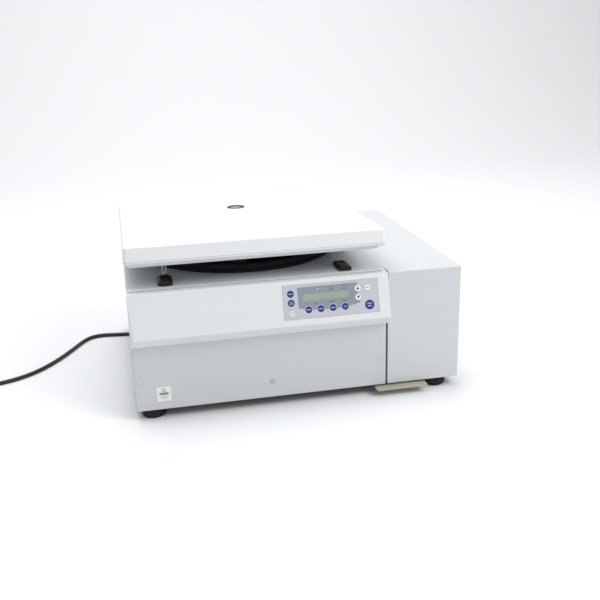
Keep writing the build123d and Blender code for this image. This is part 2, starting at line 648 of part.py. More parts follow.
def chamber_seal():
    """Black rubber ring round the opening: a flange on the deck, a groove and a rounded sealing bead."""
    inner = deck_opening + SEAL_OVERHANG - SEAL_WIDTH
    outer = inner + SEAL_WIDTH
    tongue = deck_opening - FIT_GAP
    bead = DECK_HEIGHT + SEAL_BASE + SEAL_GROOVE
    outline = [(inner, deck_low + FIT_GAP), (tongue, deck_low + FIT_GAP), (tongue, DECK_HEIGHT),
               (outer, DECK_HEIGHT), (outer, DECK_HEIGHT + SEAL_BASE),
               (outer - 2.5, DECK_HEIGHT + SEAL_BASE + SEAL_GROOVE / 2), (outer - 2.0, bead),
               (outer - 1.0, bead + 3.0), (outer - 3.5, seal_top - 1.5), (outer - 7.0, seal_top),
               (inner + 2.5, seal_top), (inner, seal_top - 2.5)]
    return turned(outline)


def chamber_insulation():
    """Foam jacket round the bowl, outside the evaporator tube."""
    inner = BOWL_RADIUS + BOWL_WALL + TUBE_DEPTH + 2 * FIT_GAP
    low = bowl_floor - BOWL_WALL - INSULATION
    floor = bowl_floor - BOWL_WALL - FIT_GAP
    top = deck_low - BOWL_WALL - FIT_GAP
    return turned([(FLOOR_HOLE, low), (inner + INSULATION, low), (inner + INSULATION, top), (inner, top),
                   (inner, floor), (FLOOR_HOLE, floor)])


def evaporator_coil():
    """Flattened refrigerant tube clamped round the bowl."""
    inner = BOWL_RADIUS + BOWL_WALL + FIT_GAP
    room = deck_low - BOWL_WALL - bowl_floor - BOWL_CORNER - TUBE_HEIGHT
    turns = []
    for turn in range(TUBE_TURNS):
        low = bowl_floor + BOWL_CORNER + turn * room / TUBE_TURNS
        turns.append(turned([(inner, low), (inner + TUBE_DEPTH, low), (inner + TUBE_DEPTH, low + TUBE_HEIGHT),
                             (inner, low + TUBE_HEIGHT)]))
    riser_x = axis_x + inner + TUBE_DEPTH / 2
    low, high = bowl_floor + BOWL_CORNER, bowl_floor + BOWL_CORNER + room
    riser = block((riser_x - TUBE_DEPTH / 2 + 1, riser_x + TUBE_DEPTH / 2 - 0.5),
                  (axis_y - TUBE_HEIGHT / 2, axis_y + TUBE_HEIGHT / 2), (low + 1, high - room / TUBE_TURNS + 1))
    coil = turns[0]
    for turn in turns[1:]:
        coil += turn
    return coil + riser


def guard_inner():
    return BOWL_RADIUS + BOWL_WALL + TUBE_DEPTH + 2 * FIT_GAP + INSULATION + GUARD_GAP


def guard_ring():
    """Armour cylinder that stops debris, standing on the base on three welded feet."""
    inner = guard_inner()
    top = deck_low - BOWL_WALL - 4
    ring = turned([(inner, GUARD_LOW), (inner + GUARD_WALL, GUARD_LOW), (inner + GUARD_WALL, top), (inner, top)])
    for turn in range(3):
        leg = block((inner, inner + GUARD_WALL), (-18, 18), (base_top, GUARD_LOW + 1))
        ring += rotor_axis * Rot(0, 0, 120 * turn + 90) * leg
    return ring


# ---- drive and rotor ----
def motor_housing():
    """Finned drive motor with its mounting flange."""
    body = rod_z(MOTOR_RADIUS, motor_bottom, motor_top)
    flange_top = motor_bottom + MOTOR_FLANGE_THICKNESS
    body += rod_z(MOTOR_FLANGE, motor_bottom, flange_top)
    half = MOTOR_FIN / 2
    for turn in range(MOTOR_FINS):
        fin = block((MOTOR_RADIUS - 1, MOTOR_RADIUS + MOTOR_FIN_REACH), (-half, half),
                    (flange_top - 1, motor_top - MOTOR_FIN_REACH))
        body += Rot(0, 0, turn * 360 / MOTOR_FINS) * fin
    body -= rod_z(SHAFT_RADIUS + SHAFT_FIT, shaft_low() - 1, motor_top + 1)
    return rotor_axis * body


def drive_shaft():
    """Motor shaft, stepped up to the seat that carries the rotor hub, with a threaded-end spigot."""
    seat = rod_z(SHAFT_RADIUS, shaft_low(), hub_top())
    collar = rod_z(SHAFT_RADIUS + 5, hub_low - 8, hub_low - FIT_GAP)
    return rotor_axis * (seat + collar)


def shaft_low():
    return motor_bottom + 2 * MOTOR_FLANGE_THICKNESS + 1


def hub_top():
    return pivot_height + RAIL_HEIGHT / 2


def rotor_yoke():
    """Rotor beam: hub and bridge between two side rails with tapered ends, carrying four trunnions."""
    half = RAIL_LENGTH / 2
    low = pivot_height - RAIL_HEIGHT / 2
    top = hub_top()
    rail_outline = [(-half, pivot_height - 4), (-half + 26, low), (half - 26, low), (half, pivot_height - 4),
                    (half, pivot_height + 8), (half - 20, top), (-half + 20, top), (-half, pivot_height + 8)]
    yoke = rod_z(HUB_RADIUS, hub_low, top)
    yoke += block((-BRIDGE_WIDTH / 2, BRIDGE_WIDTH / 2), (-rail_inner - 1, rail_inner + 1), (low + 4, top - 6))
    for side in (-1, 1):
        for web in (-1, 1):
            pocket = block((-BRIDGE_WIDTH / 2 + 8, BRIDGE_WIDTH / 2 - 8), (HUB_RADIUS + 5, rail_inner - 8),
                           (low + 12, top))
            yoke -= Rot(0, 0, 90 - 90 * web) * pocket
        y0, y1 = sorted((side * rail_inner, side * (rail_inner + RAIL_THICKNESS)))
        face = make_face(Polyline(*[(x, y0, z) for x, z in rail_outline], close=True))
        yoke += extrude(face, amount=y1 - y0, dir=(0, 1, 0))
        for end in (-1, 1):
            tip = bucket_length / 2 + PIN_END_GAP
            span = sorted((side * tip, side * (rail_inner + 1)))
            yoke += rod_y(TRUNNION_RADIUS, span[0], span[1], end * PIVOT_REACH, pivot_height)
    yoke -= rod_z(SHAFT_RADIUS + SHAFT_FIT, hub_low - 1, top + 1)
    return rotor_axis * yoke


def rotor_nut():
    """Fluted tie-down nut that holds the rotor on the shaft."""
    top = hub_top()
    nut = rod_z(NUT_RADIUS, top, top + NUT_HEIGHT)
    nut = chamfer(nut.edges().group_by(Axis.Z)[-1], 2)
    for turn in range(8):
        nut -= Rot(0, 0, turn * 45) * rod_z(3.2, top + 4, top + NUT_HEIGHT + 1, NUT_RADIUS + 1.4)
    hexagon = extrude(RegularPolygon(6, 6), amount=NUT_HEIGHT)
    return rotor_axis * (nut - Pos(0, 0, top + NUT_HEIGHT - 8) * hexagon)


def bucket(side):
    """Swing-out bucket for microplates: an open box with finger dips in its long walls, and a boss on
    each end wall with a groove, open below, that hooks over the rotor's trunnion."""
    low, high = pivot_height - BUCKET_BELOW, pivot_height + BUCKET_ABOVE
    box = rounded_plate(bucket_width, bucket_length, BUCKET_CORNER, low, high)
    box = fillet(box.edges().group_by(Axis.Z)[0], 4)
    box -= rounded_plate(bucket_width - 2 * BUCKET_WALL, bucket_length - 2 * BUCKET_WALL,
                         BUCKET_CORNER - BUCKET_WALL, low + BUCKET_WALL, high + 1)
    dip = extrude(Plane.YZ * SlotOverall(bucket_length * 0.5, 2 * BUCKET_DIP), amount=bucket_width, both=True)
    box -= Pos(0, 0, high) * dip
    bore = TRUNNION_RADIUS + TRUNNION_FIT
    boss_radius = TRUNNION_RADIUS + BOSS_WALL
    boss_low = pivot_height - 1.6 * boss_radius
    for end in (-1, 1):
        y0, y1 = sorted((end * (bucket_length / 2 - 1), end * (bucket_length / 2 + BUCKET_BOSS)))
        box += rod_y(boss_radius, y0, y1, 0, pivot_height)
        box += block((-boss_radius, boss_radius), (y0, y1), (boss_low, pivot_height))
        y0, y1 = sorted((end * bucket_length / 2, end * (bucket_length / 2 + BUCKET_BOSS + 1)))
        box -= rod_y(bore, y0, y1, 0, pivot_height)
        box -= block((-bore, bore), (y0, y1), (boss_low - 1, pivot_height))
    return rotor_axis * Pos(side * PIVOT_REACH, 0, 0) * box


# ---- lid ----
lid_x = (left + bay_right) / 2
lid_y = (lid_front + lid_rear) / 2
port_at = (axis_x + PORT_X_OFFSET, axis_y + PORT_Y_OFFSET)


def lid_section(inset, corner, z):
    return Pos(lid_x, lid_y, z) * RectangleRounded(rotor_bay_width - 2 * inset, lid_depth - 2 * inset, corner)


def lid_frustum(low, high, corner):
    """The lid's outline from one (inset, height) to another."""
    return loft([lid_section(inset, corner, z) for inset, z in (low, high)], ruled=True)


def lid_shell():
    """Moulded lid cover: a shallow box whose top rises gently from a wide border."""
    levels = [(0, skirt_low), (LID_DRAFT, lid_edge_z - LID_EDGE_ROUND),
              (LID_DRAFT + LID_EDGE_ROUND * 0.3, lid_edge_z - LID_EDGE_ROUND * 0.3),
              (LID_DRAFT + LID_EDGE_ROUND, lid_edge_z), (LID_BORDER, lid_top)]
    outer = lid_frustum(levels[0], levels[1], LID_CORNER)
    for low, high in zip(levels[1:-1], levels[2:]):
        outer += lid_frustum(low, high, LID_CORNER)
    inner = lid_frustum((LID_WALL, skirt_low - 1), (LID_WALL + LID_DRAFT, skirt_low + LID_SKIRT - LID_CROWN - LID_WALL),
                        LID_CORNER - LID_WALL / 2)
    hole = rod_z(PORT_RADIUS + PORT_WALL + FIT_GAP, skirt_low, lid_top + 1, *port_at)
    return ajar(outer - inner - hole)


def lid_liner():
    """Inner pan of the lid: a flange under the skirt and a drafted well that carries the seal disc."""
    flange_top = skirt_low - FIT_GAP
    flange = Pos(0, 0, -LINER_FLANGE - FIT_GAP) * extrude(
        lid_section(LINER_FLANGE_INSET, LID_CORNER, skirt_low), amount=LINER_FLANGE)
    flange -= block((left, bay_right), (lid_rear - LINER_REAR_INSET, lid_rear), (skirt_low - 9, skirt_low + 9))
    depth = lid_depth - LINER_FRONT_INSET - LINER_REAR_INSET
    centre_y = (lid_front + LINER_FRONT_INSET + lid_rear - LINER_REAR_INSET) / 2

    def well(shrink, z):
        return Pos(lid_x, centre_y, z) * RectangleRounded(
            rotor_bay_width - 2 * LINER_SIDE_INSET - 2 * shrink, depth - 2 * shrink, LID_CORNER + 5)

    pan = loft([well(LINER_DRAFT, liner_bottom), well(0, flange_top - LINER_FLANGE / 2)], ruled=True)
    hollow = loft([well(LINER_DRAFT + LINER_WALL, liner_bottom + LINER_WALL), well(LINER_WALL, flange_top + 1)],
                  ruled=True)
    hole = rod_z(PORT_RADIUS + PORT_WALL + FIT_GAP, liner_bottom - 1, flange_top + 2, *port_at)
    return ajar(pan + flange - hollow - hole)


def lid_seal_disc():
    """Black disc under the liner that meets the chamber seal when the lid closes."""
    low = seal_top + SEAL_CLEARANCE
    disc = rod_z(deck_opening + SEAL_DISC_MARGIN, low, liner_bottom, axis_x, axis_y)
    disc = fillet(disc.edges().group_by(Axis.Z)[0], 1.5)
    disc -= rod_z(PORT_RADIUS + PORT_WALL + FIT_GAP, low - 1, liner_bottom + 1, *port_at)
    return ajar(disc)


def viewing_port():
    """Flanged tube through the lid that holds the viewing windows."""
    low, high = seal_top + SEAL_CLEARANCE, lid_top
    tube = rod_z(PORT_RADIUS + PORT_WALL, low, high)
    tube += rod_z(PORT_RADIUS + PORT_WALL + PORT_LIP, high + FIT_GAP, high + 1.2 + FIT_GAP)
    tube += rod_z(PORT_RADIUS + PORT_WALL, high, high + 1)
    tube -= rod_z(PORT_RADIUS, low - 1, high + 3)
    ledge = rod_z(PORT_RADIUS + 0.5, high - WINDOW_THICKNESS - 2, high - WINDOW_THICKNESS)
    ledge -= rod_z(PORT_RADIUS - 2, low, high)
    return ajar(Pos(*port_at, 0) * (tube + ledge))


def lid_window():
    """Clear disc in the viewing port."""
    top = lid_top
    return ajar(rod_z(PORT_RADIUS - FIT_GAP / 3, top - WINDOW_THICKNESS, top, *port_at))


def striker(x):
    """Lock catch under the lid: a flat loop on a mounting pad, slanted below, open for the bolt."""
    half, thick = STRIKER_WIDTH / 2, STRIKER_THICKNESS / 2
    low = liner_bottom - STRIKER_REACH
    outer = x + half if x > lid_x else x - half
    inner = 2 * x - outer
    outline = [(outer, lock_y, low), (outer, lock_y, liner_bottom), (inner, lock_y, liner_bottom),
               (inner, lock_y, low + STRIKER_SLANT)]
    bar = extrude(make_face(Polyline(*outline, close=True)), amount=thick, dir=(0, 1, 0), both=True)
    pad = rounded_plate(STRIKER_PAD_WIDTH, STRIKER_PAD_DEPTH, 3, liner_bottom - STRIKER_PAD, liner_bottom, x, lock_y)
    wide = STRIKER_WINDOW_WIDTH / 2
    window = block((x - wide, x + wide), (lock_y - thick - 1, lock_y + thick + 1),
                   (bolt_low() - BOLT_PLAY, liner_bottom - STRIKER_PAD - STRIKER_BRIDGE))
    return ajar(bar + pad - window)


def bolt_low():
    return DECK_HEIGHT + BOLT_RISE


def hinge_arm(x):
    """Lid side of a hinge: a bored knuckle on a web that rises to a pad under the lid's top."""
    half = KNUCKLE_WIDTH / 2
    ceiling = lid_edge_z - LID_WALL
    arm = rod_x(KNUCKLE_RADIUS, x - half, x + half, hinge_y, hinge_z)
    web_top = ceiling - ARM_PAD / 2
    back = lid_rear - LID_WALL - LID_DRAFT - ARM_GAP
    web = [(hinge_y - KNUCKLE_RADIUS, hinge_z), (hinge_y + KNUCKLE_RADIUS * 0.4, hinge_z),
           (back, web_top), (hinge_y - ARM_WEB_REACH, web_top)]
    arm += along_x(web, x - half, x + half)
    pad = half + ARM_PAD_MARGIN
    arm += block((x - pad, x + pad), (hinge_y - ARM_WEB_REACH - 1, back),
                 (ceiling - ARM_PAD, ceiling))
    arm -= rod_x(HINGE_PIN_RADIUS + HINGE_FIT, x - half - 1, x + half + 1, hinge_y, hinge_z)
    return ajar(arm)


def hinge_bracket(x):
    """Base side of a hinge: a deck plate with two rounded ears."""
    half = EAR_GAP / 2
    wide = half + EAR_THICKNESS + BRACKET_MARGIN
    plate = block((x - wide, x + wide), (hinge_y - BRACKET_DEPTH / 2, hinge_y + BRACKET_DEPTH / 2),
                  (DECK_HEIGHT, DECK_HEIGHT + BRACKET_SHEET))
    plate = fillet(plate.edges().filter_by(Axis.Z), 4)
    for side in (-1, 1):
        x0, x1 = sorted((x + side * half, x + side * (half + EAR_THICKNESS)))
        plate += block((x0, x1), (hinge_y - EAR_RADIUS, hinge_y + EAR_RADIUS), (DECK_HEIGHT + 1, hinge_z))
        plate += rod_x(EAR_RADIUS, x0, x1, hinge_y, hinge_z)
    return plate - rod_x(HINGE_PIN_RADIUS + HINGE_FIT / 2, x - wide, x + wide, hinge_y, hinge_z)


def hinge_pin(x):
    """Headed hinge pin, fixed in the bracket's ears."""
    half = EAR_GAP / 2 + EAR_THICKNESS
    pin = rod_x(HINGE_PIN_RADIUS, x - half - PIN_HEAD, x + half + PIN_HEAD, hinge_y, hinge_z)
    for side in (-1, 1):
        x0, x1 = sorted((x + side * half, x + side * (half + PIN_HEAD)))
        pin += rod_x(HINGE_PIN_RADIUS + 1.8, x0, x1, hinge_y, hinge_z)
    return pin


def hinge_spring(place):
    """Close-wound counterbalance spring on the hinge pin, between knuckle and ear, as a stack of turns."""
    x, side = place
    start = KNUCKLE_WIDTH / 2 + FIT_GAP
    inner = HINGE_PIN_RADIUS + FIT_GAP
    turns = None
    for turn in range(SPRING_TURNS):
        centre = x + side * (start + SPRING_WIRE / 2 + turn * SPRING_WIRE)
        ring = Torus(inner + SPRING_WIRE / 2, SPRING_WIRE / 2)
        core = Cylinder(inner + SPRING_WIRE / 2 + 0.6, SPRING_WIRE) - Cylinder(inner + SPRING_WIRE / 2 - 0.6, SPRING_WIRE)
        coil = Pos(centre, hinge_y, hinge_z) * Rot(0, 90, 0) * (ring + core)
        turns = coil if turns is None else turns + coil
    return turns


# ---- lid locks ----
bolt_tip_y = lock_y + STRIKER_THICKNESS / 2 + 1.2
bolt_rear_y = bolt_tip_y + BOLT_NOSE_LENGTH + BOLT_BODY_LENGTH


def lock_well_y():
    """Span along Y of the opening in the deck below a lock: the striker and the bolt's drive tongue."""
    return (lock_y - LOCK_SLOT_LENGTH / 2, bolt_rear_y + BOLT_PLAY)


def lock_cover(x):
    """Raised black cover over a lock: bevelled all round, hollow below, with a slot for the striker."""
    y0, y1 = front + LOCK_COVER_FRONT, front + LOCK_COVER_REAR
    top = DECK_HEIGHT + LOCK_COVER_HEIGHT
    cover = rounded_plate(LOCK_COVER_WIDTH, y1 - y0, LOCK_COVER_CORNER, DECK_HEIGHT, top, x, (y0 + y1) / 2)
    cover = chamfer(cover.edges().group_by(Axis.Z)[-1], LOCK_COVER_BEVEL * 0.7, LOCK_COVER_BEVEL)
    half = BOLT_BODY_WIDTH / 2 + BOLT_PLAY
    cover -= block((x - half, x + half), (bolt_tip_y - BOLT_TRAVEL - BOLT_PLAY, lock_well_y()[1]),
                   (DECK_HEIGHT - 1, bolt_low() + BOLT_HEIGHT + BOLT_PLAY / 2))
    slot = RectangleRounded(LOCK_SLOT_WIDTH, LOCK_SLOT_LENGTH, 2)
    return cover - Pos(x, lock_y, DECK_HEIGHT - 1) * extrude(slot, amount=LOCK_COVER_HEIGHT + 2)


def lock_bolt(x):
    """Lock bolt: a nose that slides forward through the striker's window, a guided body and a drive tongue."""
    low, high = bolt_low(), bolt_low() + BOLT_HEIGHT
    body_y = bolt_tip_y + BOLT_NOSE_LENGTH
    nose = block((x - BOLT_NOSE_WIDTH / 2, x + BOLT_NOSE_WIDTH / 2), (bolt_tip_y, body_y + 1), (low, high))
    nose = chamfer(nose.edges().group_by(Axis.Y)[0], 0.8)
    body = block((x - BOLT_BODY_WIDTH / 2, x + BOLT_BODY_WIDTH / 2), (body_y, bolt_rear_y), (low, high))
    half = BOLT_TONGUE_WIDTH / 2
    tongue = block((x - half, x + half), (bolt_rear_y - 5, bolt_rear_y), (low - BOLT_TONGUE_DEPTH, low + 1))
    return nose + body + tongue


def lock_motor(x):
    """Geared lock actuator under the deck: a case with a slot for the bolt's tongue, and its motor in front."""
    y0, y1 = lock_well_y()
    top = deck_low - FIT_GAP
    low = top - LOCK_MOTOR_HEIGHT
    half = BOLT_TONGUE_WIDTH / 2 + FIT_GAP
    case = block((x - LOCK_MOTOR_WIDTH / 2, x + LOCK_MOTOR_WIDTH / 2), (y0 - 6, y1 + 8), (low, top))
    case = fillet(case.edges().filter_by(Axis.Z), 3)
    case -= block((x - half, x + half), (bolt_rear_y - 5 - BOLT_TRAVEL - FIT_GAP, y1),
                  (bolt_low() - BOLT_TONGUE_DEPTH - 1, top + 1))
    case -= block((x - STRIKER_WIDTH, x + STRIKER_WIDTH), (y0, lock_y + LOCK_SLOT_LENGTH / 2), (top - 4, top + 1))
    motor_z = low + LOCK_MOTOR_HEIGHT / 2
    return case + rod_y(LOCK_MOTOR_WIDTH / 2 - 2, y0 - 6 - GEARMOTOR_LENGTH, y0 - 5, x, motor_z)


# ---- drip tray ----
def drip_tray():
    """Condensate tray: a shallow drafted pan with side rims on the rails and a pull lip in front."""
    half = TRAY_WIDTH / 2
    y0 = front + SHEET + 2
    y1 = front + TRAY_DEPTH - 4
    width = TRAY_WIDTH - 2 * TRAY_RIM - 2 * TRAY_PLAY
    depth = y1 - y0
    centre_y = (y0 + y1) / 2

    def level(shrink, z):
        return Pos(tray_x, centre_y, z) * RectangleRounded(width - 2 * shrink, depth - 2 * shrink, 8)

    pan = loft([level(4, tray_bottom), level(0, tray_top)], ruled=True)
    hollow = loft([level(4 + TRAY_WALL, tray_bottom + TRAY_WALL), level(TRAY_WALL, tray_top + 0.01)], ruled=True)
    rim_low = tray_top - TRAY_RIM_THICKNESS
    rim = block((tray_x - half, tray_x + half), (y0, y1), (rim_low, tray_top))
    lip_y = front - TRAY_LIP_REACH
    lip = block((tray_x - TRAY_LIP_WIDTH / 2, tray_x + TRAY_LIP_WIDTH / 2), (lip_y, y0 - 2),
                (tray_top - TRAY_LIP_THICKNESS, tray_top))
    lip = fillet(lip.edges().filter_by(Axis.Z).group_by(Axis.Y)[0], TRAY_LIP_CORNER)
    lip = fillet(lip.edges().group_by(Axis.Z)[-1].filter_by(lambda e: e.center().Y < front), 1.0)
    neck = block((tray_x - width / 2, tray_x + width / 2), (y0 - 3, y0 + 1), (rim_low - 1, tray_top))
    return pan + rim + lip + neck - hollow


# ---- cooling bay ----
def rubber_mounts():
    """Rubber bushes under the motor flange and the compressor feet."""
    spots = []
    for turn in range(3):
        angle = radians(120 * turn + 30)
        spots.append((axis_x + (MOTOR_FLANGE - 10) * cos(angle), axis_y + (MOTOR_FLANGE - 10) * sin(angle)))
    bushes = [rod_z(MOUNT_RADIUS - 2, base_top, motor_bottom, *spot) for spot in spots]
    for x in (-1, 1):
        for y in (-1, 1):
            place = (cooling_x + x * compressor_foot(), compressor_y() + y * compressor_foot())
            bushes.append(rod_z(MOUNT_RADIUS, base_top, base_top + MOUNT_HEIGHT, *place))
    return Compound(children=bushes)


def compressor_y():
    return front + COMPRESSOR_FROM_FRONT


def compressor_foot():
    return COMPRESSOR_RADIUS * 0.82


def compressor():
    """Hermetic compressor: domed can with a seam ring, foot plate, terminal box and two stub pipes."""
    low = base_top + MOUNT_HEIGHT
    can_low, can_high = low + 6, low + 6 + COMPRESSOR_HEIGHT
    can = rod_z(COMPRESSOR_RADIUS, can_low, can_high)
    can = fillet(can.edges().group_by(Axis.Z)[-1], COMPRESSOR_RADIUS * 0.45)
    can = fillet(can.edges().group_by(Axis.Z)[0], COMPRESSOR_RADIUS * 0.2)
    seam_low = can_low + COMPRESSOR_HEIGHT / 2
    can += rod_z(COMPRESSOR_RADIUS + 3, seam_low, seam_low + COMPRESSOR_SEAM)
    reach = compressor_foot() + MOUNT_RADIUS
    can += rounded_plate(2 * reach, 2 * reach, MOUNT_RADIUS, low, low + 4)
    can += rod_z(COMPRESSOR_RADIUS * 0.7, low + 3, can_low + 8)
    half = TERMINAL_BOX_WIDTH / 2
    box_low = can_low + TERMINAL_BOX_RISE
    can += block((-half, half), (-COMPRESSOR_RADIUS - TERMINAL_BOX_DEPTH, -COMPRESSOR_RADIUS * 0.87),
                 (box_low, box_low + TERMINAL_BOX_TALL))
    for side in (-1, 1):
        can += rod_z(STUB_PIPE_RADIUS, can_high - STUB_PIPE_RADIUS, can_high + STUB_PIPE_RISE,
                     side * STUB_PIPE_SPACING / 2, COMPRESSOR_RADIUS * 0.2)
    return Pos(cooling_x, compressor_y(), 0) * can


def condenser():
    """Finned condenser block: plate fins on through tubes between two end plates, on legs to the base."""
    x0 = cooling_x - condenser_width / 2
    y0 = rear - CONDENSER_FROM_REAR
    span_y = (y0, y0 + CONDENSER_DEPTH)
    low = base_top + CONDENSER_LEGS
    high = low + CONDENSER_HEIGHT
    core = None
    pitch = (condenser_width - CONDENSER_FIN) / (CONDENSER_FINS - 1)
    for fin in range(CONDENSER_FINS):
        x = x0 + fin * pitch
        end_plate = fin in (0, CONDENSER_FINS - 1)
        plate = block((x, x + CONDENSER_FIN), span_y, (base_top if end_plate else low, high))
        core = plate if core is None else core + plate
    for row in range(CONDENSER_TUBES):
        z = low + CONDENSER_HEIGHT * (row + 0.5) / CONDENSER_TUBES
        core += rod_x(CONDENSER_TUBE_RADIUS, x0, x0 + condenser_width, y0 + CONDENSER_DEPTH / 2, z)
    return core


def fan_shroud():
    """Round air duct on the rear panel with three struts to the fan motor."""
    inner = FAN_RADIUS + FAN_TIP_GAP
    y1 = rear - SHEET
    y0 = y1 - SHROUD_DEPTH
    duct = rod_y(inner + SHROUD_WALL, y0, y1, *fan_axis) - rod_y(inner, y0 - 1, y1 + 1, *fan_axis)
    duct += rod_y(inner + 8, y1 - SHROUD_WALL, y1, *fan_axis) - rod_y(inner, y0, y1 + 1, *fan_axis)
    duct += rod_y(FAN_MOTOR_RADIUS, y0, y0 + FAN_MOTOR_LENGTH, *fan_axis)
    duct += rod_y(FAN_SHAFT_RADIUS, y0, fan_low_y() + FAN_DEPTH - 5, *fan_axis)
    for turn in range(3):
        strut = block((FAN_MOTOR_RADIUS - 2, inner + 1), (y0, y0 + 4), (-4, 4))
        duct += Pos(fan_axis[0], 0, fan_axis[1]) * Rot(0, 120 * turn + 30, 0) * strut
    return duct


def fan_low_y():
    return rear - SHEET - SHROUD_DEPTH + FAN_MOTOR_LENGTH + 1


def fan_impeller():
    """Axial fan: a cupped hub with pitched blades."""
    y0 = fan_low_y()
    hub = rod_y(FAN_HUB_RADIUS, y0, y0 + FAN_DEPTH) - rod_y(FAN_HUB_RADIUS - 3, y0 - 1, y0 + FAN_DEPTH - 3)
    hub += rod_y(2 * FAN_SHAFT_RADIUS + 1, y0, y0 + FAN_DEPTH - 2)
    blade_length = FAN_RADIUS - FAN_HUB_RADIUS + 1.5
    for turn in range(FAN_BLADES):
        blade = Box(blade_length, 2.2, FAN_DEPTH * 1.35)
        placed = Pos(FAN_HUB_RADIUS - 1.5 + blade_length / 2, y0 + FAN_DEPTH / 2, 0) * Rot(48, 0, 0) * blade
        trim = rod_y(FAN_RADIUS, y0, y0 + FAN_DEPTH)
        hub += Rot(0, 360 / FAN_BLADES * turn, 0) * (placed & trim)
    hub -= rod_y(FAN_SHAFT_RADIUS + FAN_SHAFT_FIT, y0 - 1, y0 + FAN_DEPTH - 4)
    return Pos(fan_axis[0], 0, fan_axis[1]) * hub


def fan_guard():
    """Finger guard on the rear panel: concentric strips on radial spokes."""
    y0, y1 = rear, rear + REAR_REACH
    outer = FAN_RADIUS + FAN_TIP_GAP + 6
    guard = rod_y(outer, y0, y1) - rod_y(outer - 5, y0 - 1, y1 + 1)
    radius = outer - 5 - GUARD_RING_STEP + GUARD_STRIP
    while radius > 1.5 * GUARD_RING_STEP:
        guard += rod_y(radius, y0, y1) - rod_y(radius - GUARD_STRIP, y0 - 1, y1 + 1)
        radius -= GUARD_RING_STEP
    guard += rod_y(radius, y0, y1)
    for turn in range(GUARD_SPOKES):
        spoke = block((radius - 1, outer - 2), (y0, y1 - 0.6), (-GUARD_STRIP / 2, GUARD_STRIP / 2))
        guard += Rot(0, 360 / GUARD_SPOKES * turn + 15, 0) * spoke
    return Pos(fan_axis[0], 0, fan_axis[1]) * guard


def drive_board():
    """Motor drive board on edge behind the front panel, with capacitors and a finned heat sink."""
    y0 = front + DRIVE_BOARD_SETBACK
    x0 = left + DRIVE_BOARD_FROM_LEFT
    face = y0 + BOARD_THICKNESS / 2
    x1 = x0 + DRIVE_BOARD_WIDTH
    board = block((x0, x1), (y0, y0 + BOARD_THICKNESS), (base_top, base_top + DRIVE_BOARD_TALL))
    row = base_top + DRIVE_BOARD_TALL - BOARD_MARGIN - CAPACITOR_RADIUS
    for step in range(CAPACITOR_COUNT):
        x = x0 + BOARD_MARGIN + CAPACITOR_RADIUS + step * CAPACITOR_PITCH
        board += rod_y(CAPACITOR_RADIUS, face, y0 + CAPACITOR_LENGTH, x, row)
    sink_x = x1 - BOARD_MARGIN - HEAT_SINK_WIDTH
    sink_z = (base_top + BOARD_MARGIN, base_top + BOARD_MARGIN + HEAT_SINK_TALL)
    board += block((sink_x, sink_x + HEAT_SINK_WIDTH), (face, y0 + HEAT_SINK_BASE), sink_z)
    pitch = (HEAT_SINK_WIDTH - HEAT_SINK_FIN) / (HEAT_SINK_FINS - 1)
    for fin in range(HEAT_SINK_FINS):
        x = sink_x + fin * pitch
        board += block((x, x + HEAT_SINK_FIN), (face, y0 + HEAT_SINK_DEPTH), sink_z)
    return board


# ---- power entry ----
def rocker_z():
    return INLET_HEIGHT + ROCKER_RISE


def power_inlet():
    """Moulded power entry: a flange with the mains socket and the rocker's frame."""
    x = inlet_x
    high = rocker_z() + ROCKER_TALL / 2 + INLET_FLANGE
    low = INLET_HEIGHT - INLET_TALL / 2 - INLET_FLANGE
    half = INLET_WIDTH / 2 + INLET_FLANGE
    plate = rounded_plate(2 * half, high - low, 4, 0, 2.0)
    entry = Pos(x, rear, (high + low) / 2) * Rot(-90, 0, 0) * plate
    depth = rear - INLET_SETBACK
    entry += block((x - INLET_WIDTH / 2, x + INLET_WIDTH / 2), (depth, rear + 1),
                   (INLET_HEIGHT - INLET_TALL / 2, INLET_HEIGHT + INLET_TALL / 2))
    entry += block((x - ROCKER_WIDTH / 2, x + ROCKER_WIDTH / 2), (depth, rear + 1),
                   (rocker_z() - ROCKER_TALL / 2, rocker_z() + ROCKER_TALL / 2))
    wide, tall = INLET_WIDTH - 4, INLET_TALL - 4
    entry -= block((x - wide / 2, x + wide / 2), (depth + 3, rear + 3),
                   (INLET_HEIGHT - tall / 2, INLET_HEIGHT + tall / 2))
    for step in (-7, 0, 7):
        z = INLET_HEIGHT + (3 if step == 0 else -2)
        entry += block((x + step - 1, x + step + 1), (depth + 2, rear - 5), (z - 3, z + 3))
    wide, tall = ROCKER_WIDTH - 4, ROCKER_TALL - 4
    entry -= rod_x(ROCKER_PIN_RADIUS + ROCKER_PIN_FIT, x - wide / 2 - 1.2, x + wide / 2 + 1.2, rear - 3, rocker_z())
    return entry - block((x - wide / 2, x + wide / 2), (depth + 3, rear + 3),
                         (rocker_z() - tall / 2, rocker_z() + tall / 2))


def power_rocker():
    """Rocker of the power switch, tipped to its off side, pivoting on a cross axis."""
    x = inlet_x
    half = (ROCKER_TALL - 4) / 2 - 1.0
    y = rear - 3
    outline = [(-2.5, -half), (3.0, -half), (4.0, 0), (3.0, half), (-2.5, half), (-6.5, 0)]
    half_width = (ROCKER_WIDTH - 4) / 2
    body = along_x(outline, FIT_GAP - half_width, half_width - FIT_GAP)
    body += rod_x(ROCKER_PIN_RADIUS, -half_width - 1, half_width + 1)
    return Pos(x, y, rocker_z()) * Rot(ROCKER_TILT, 0, 0) * body


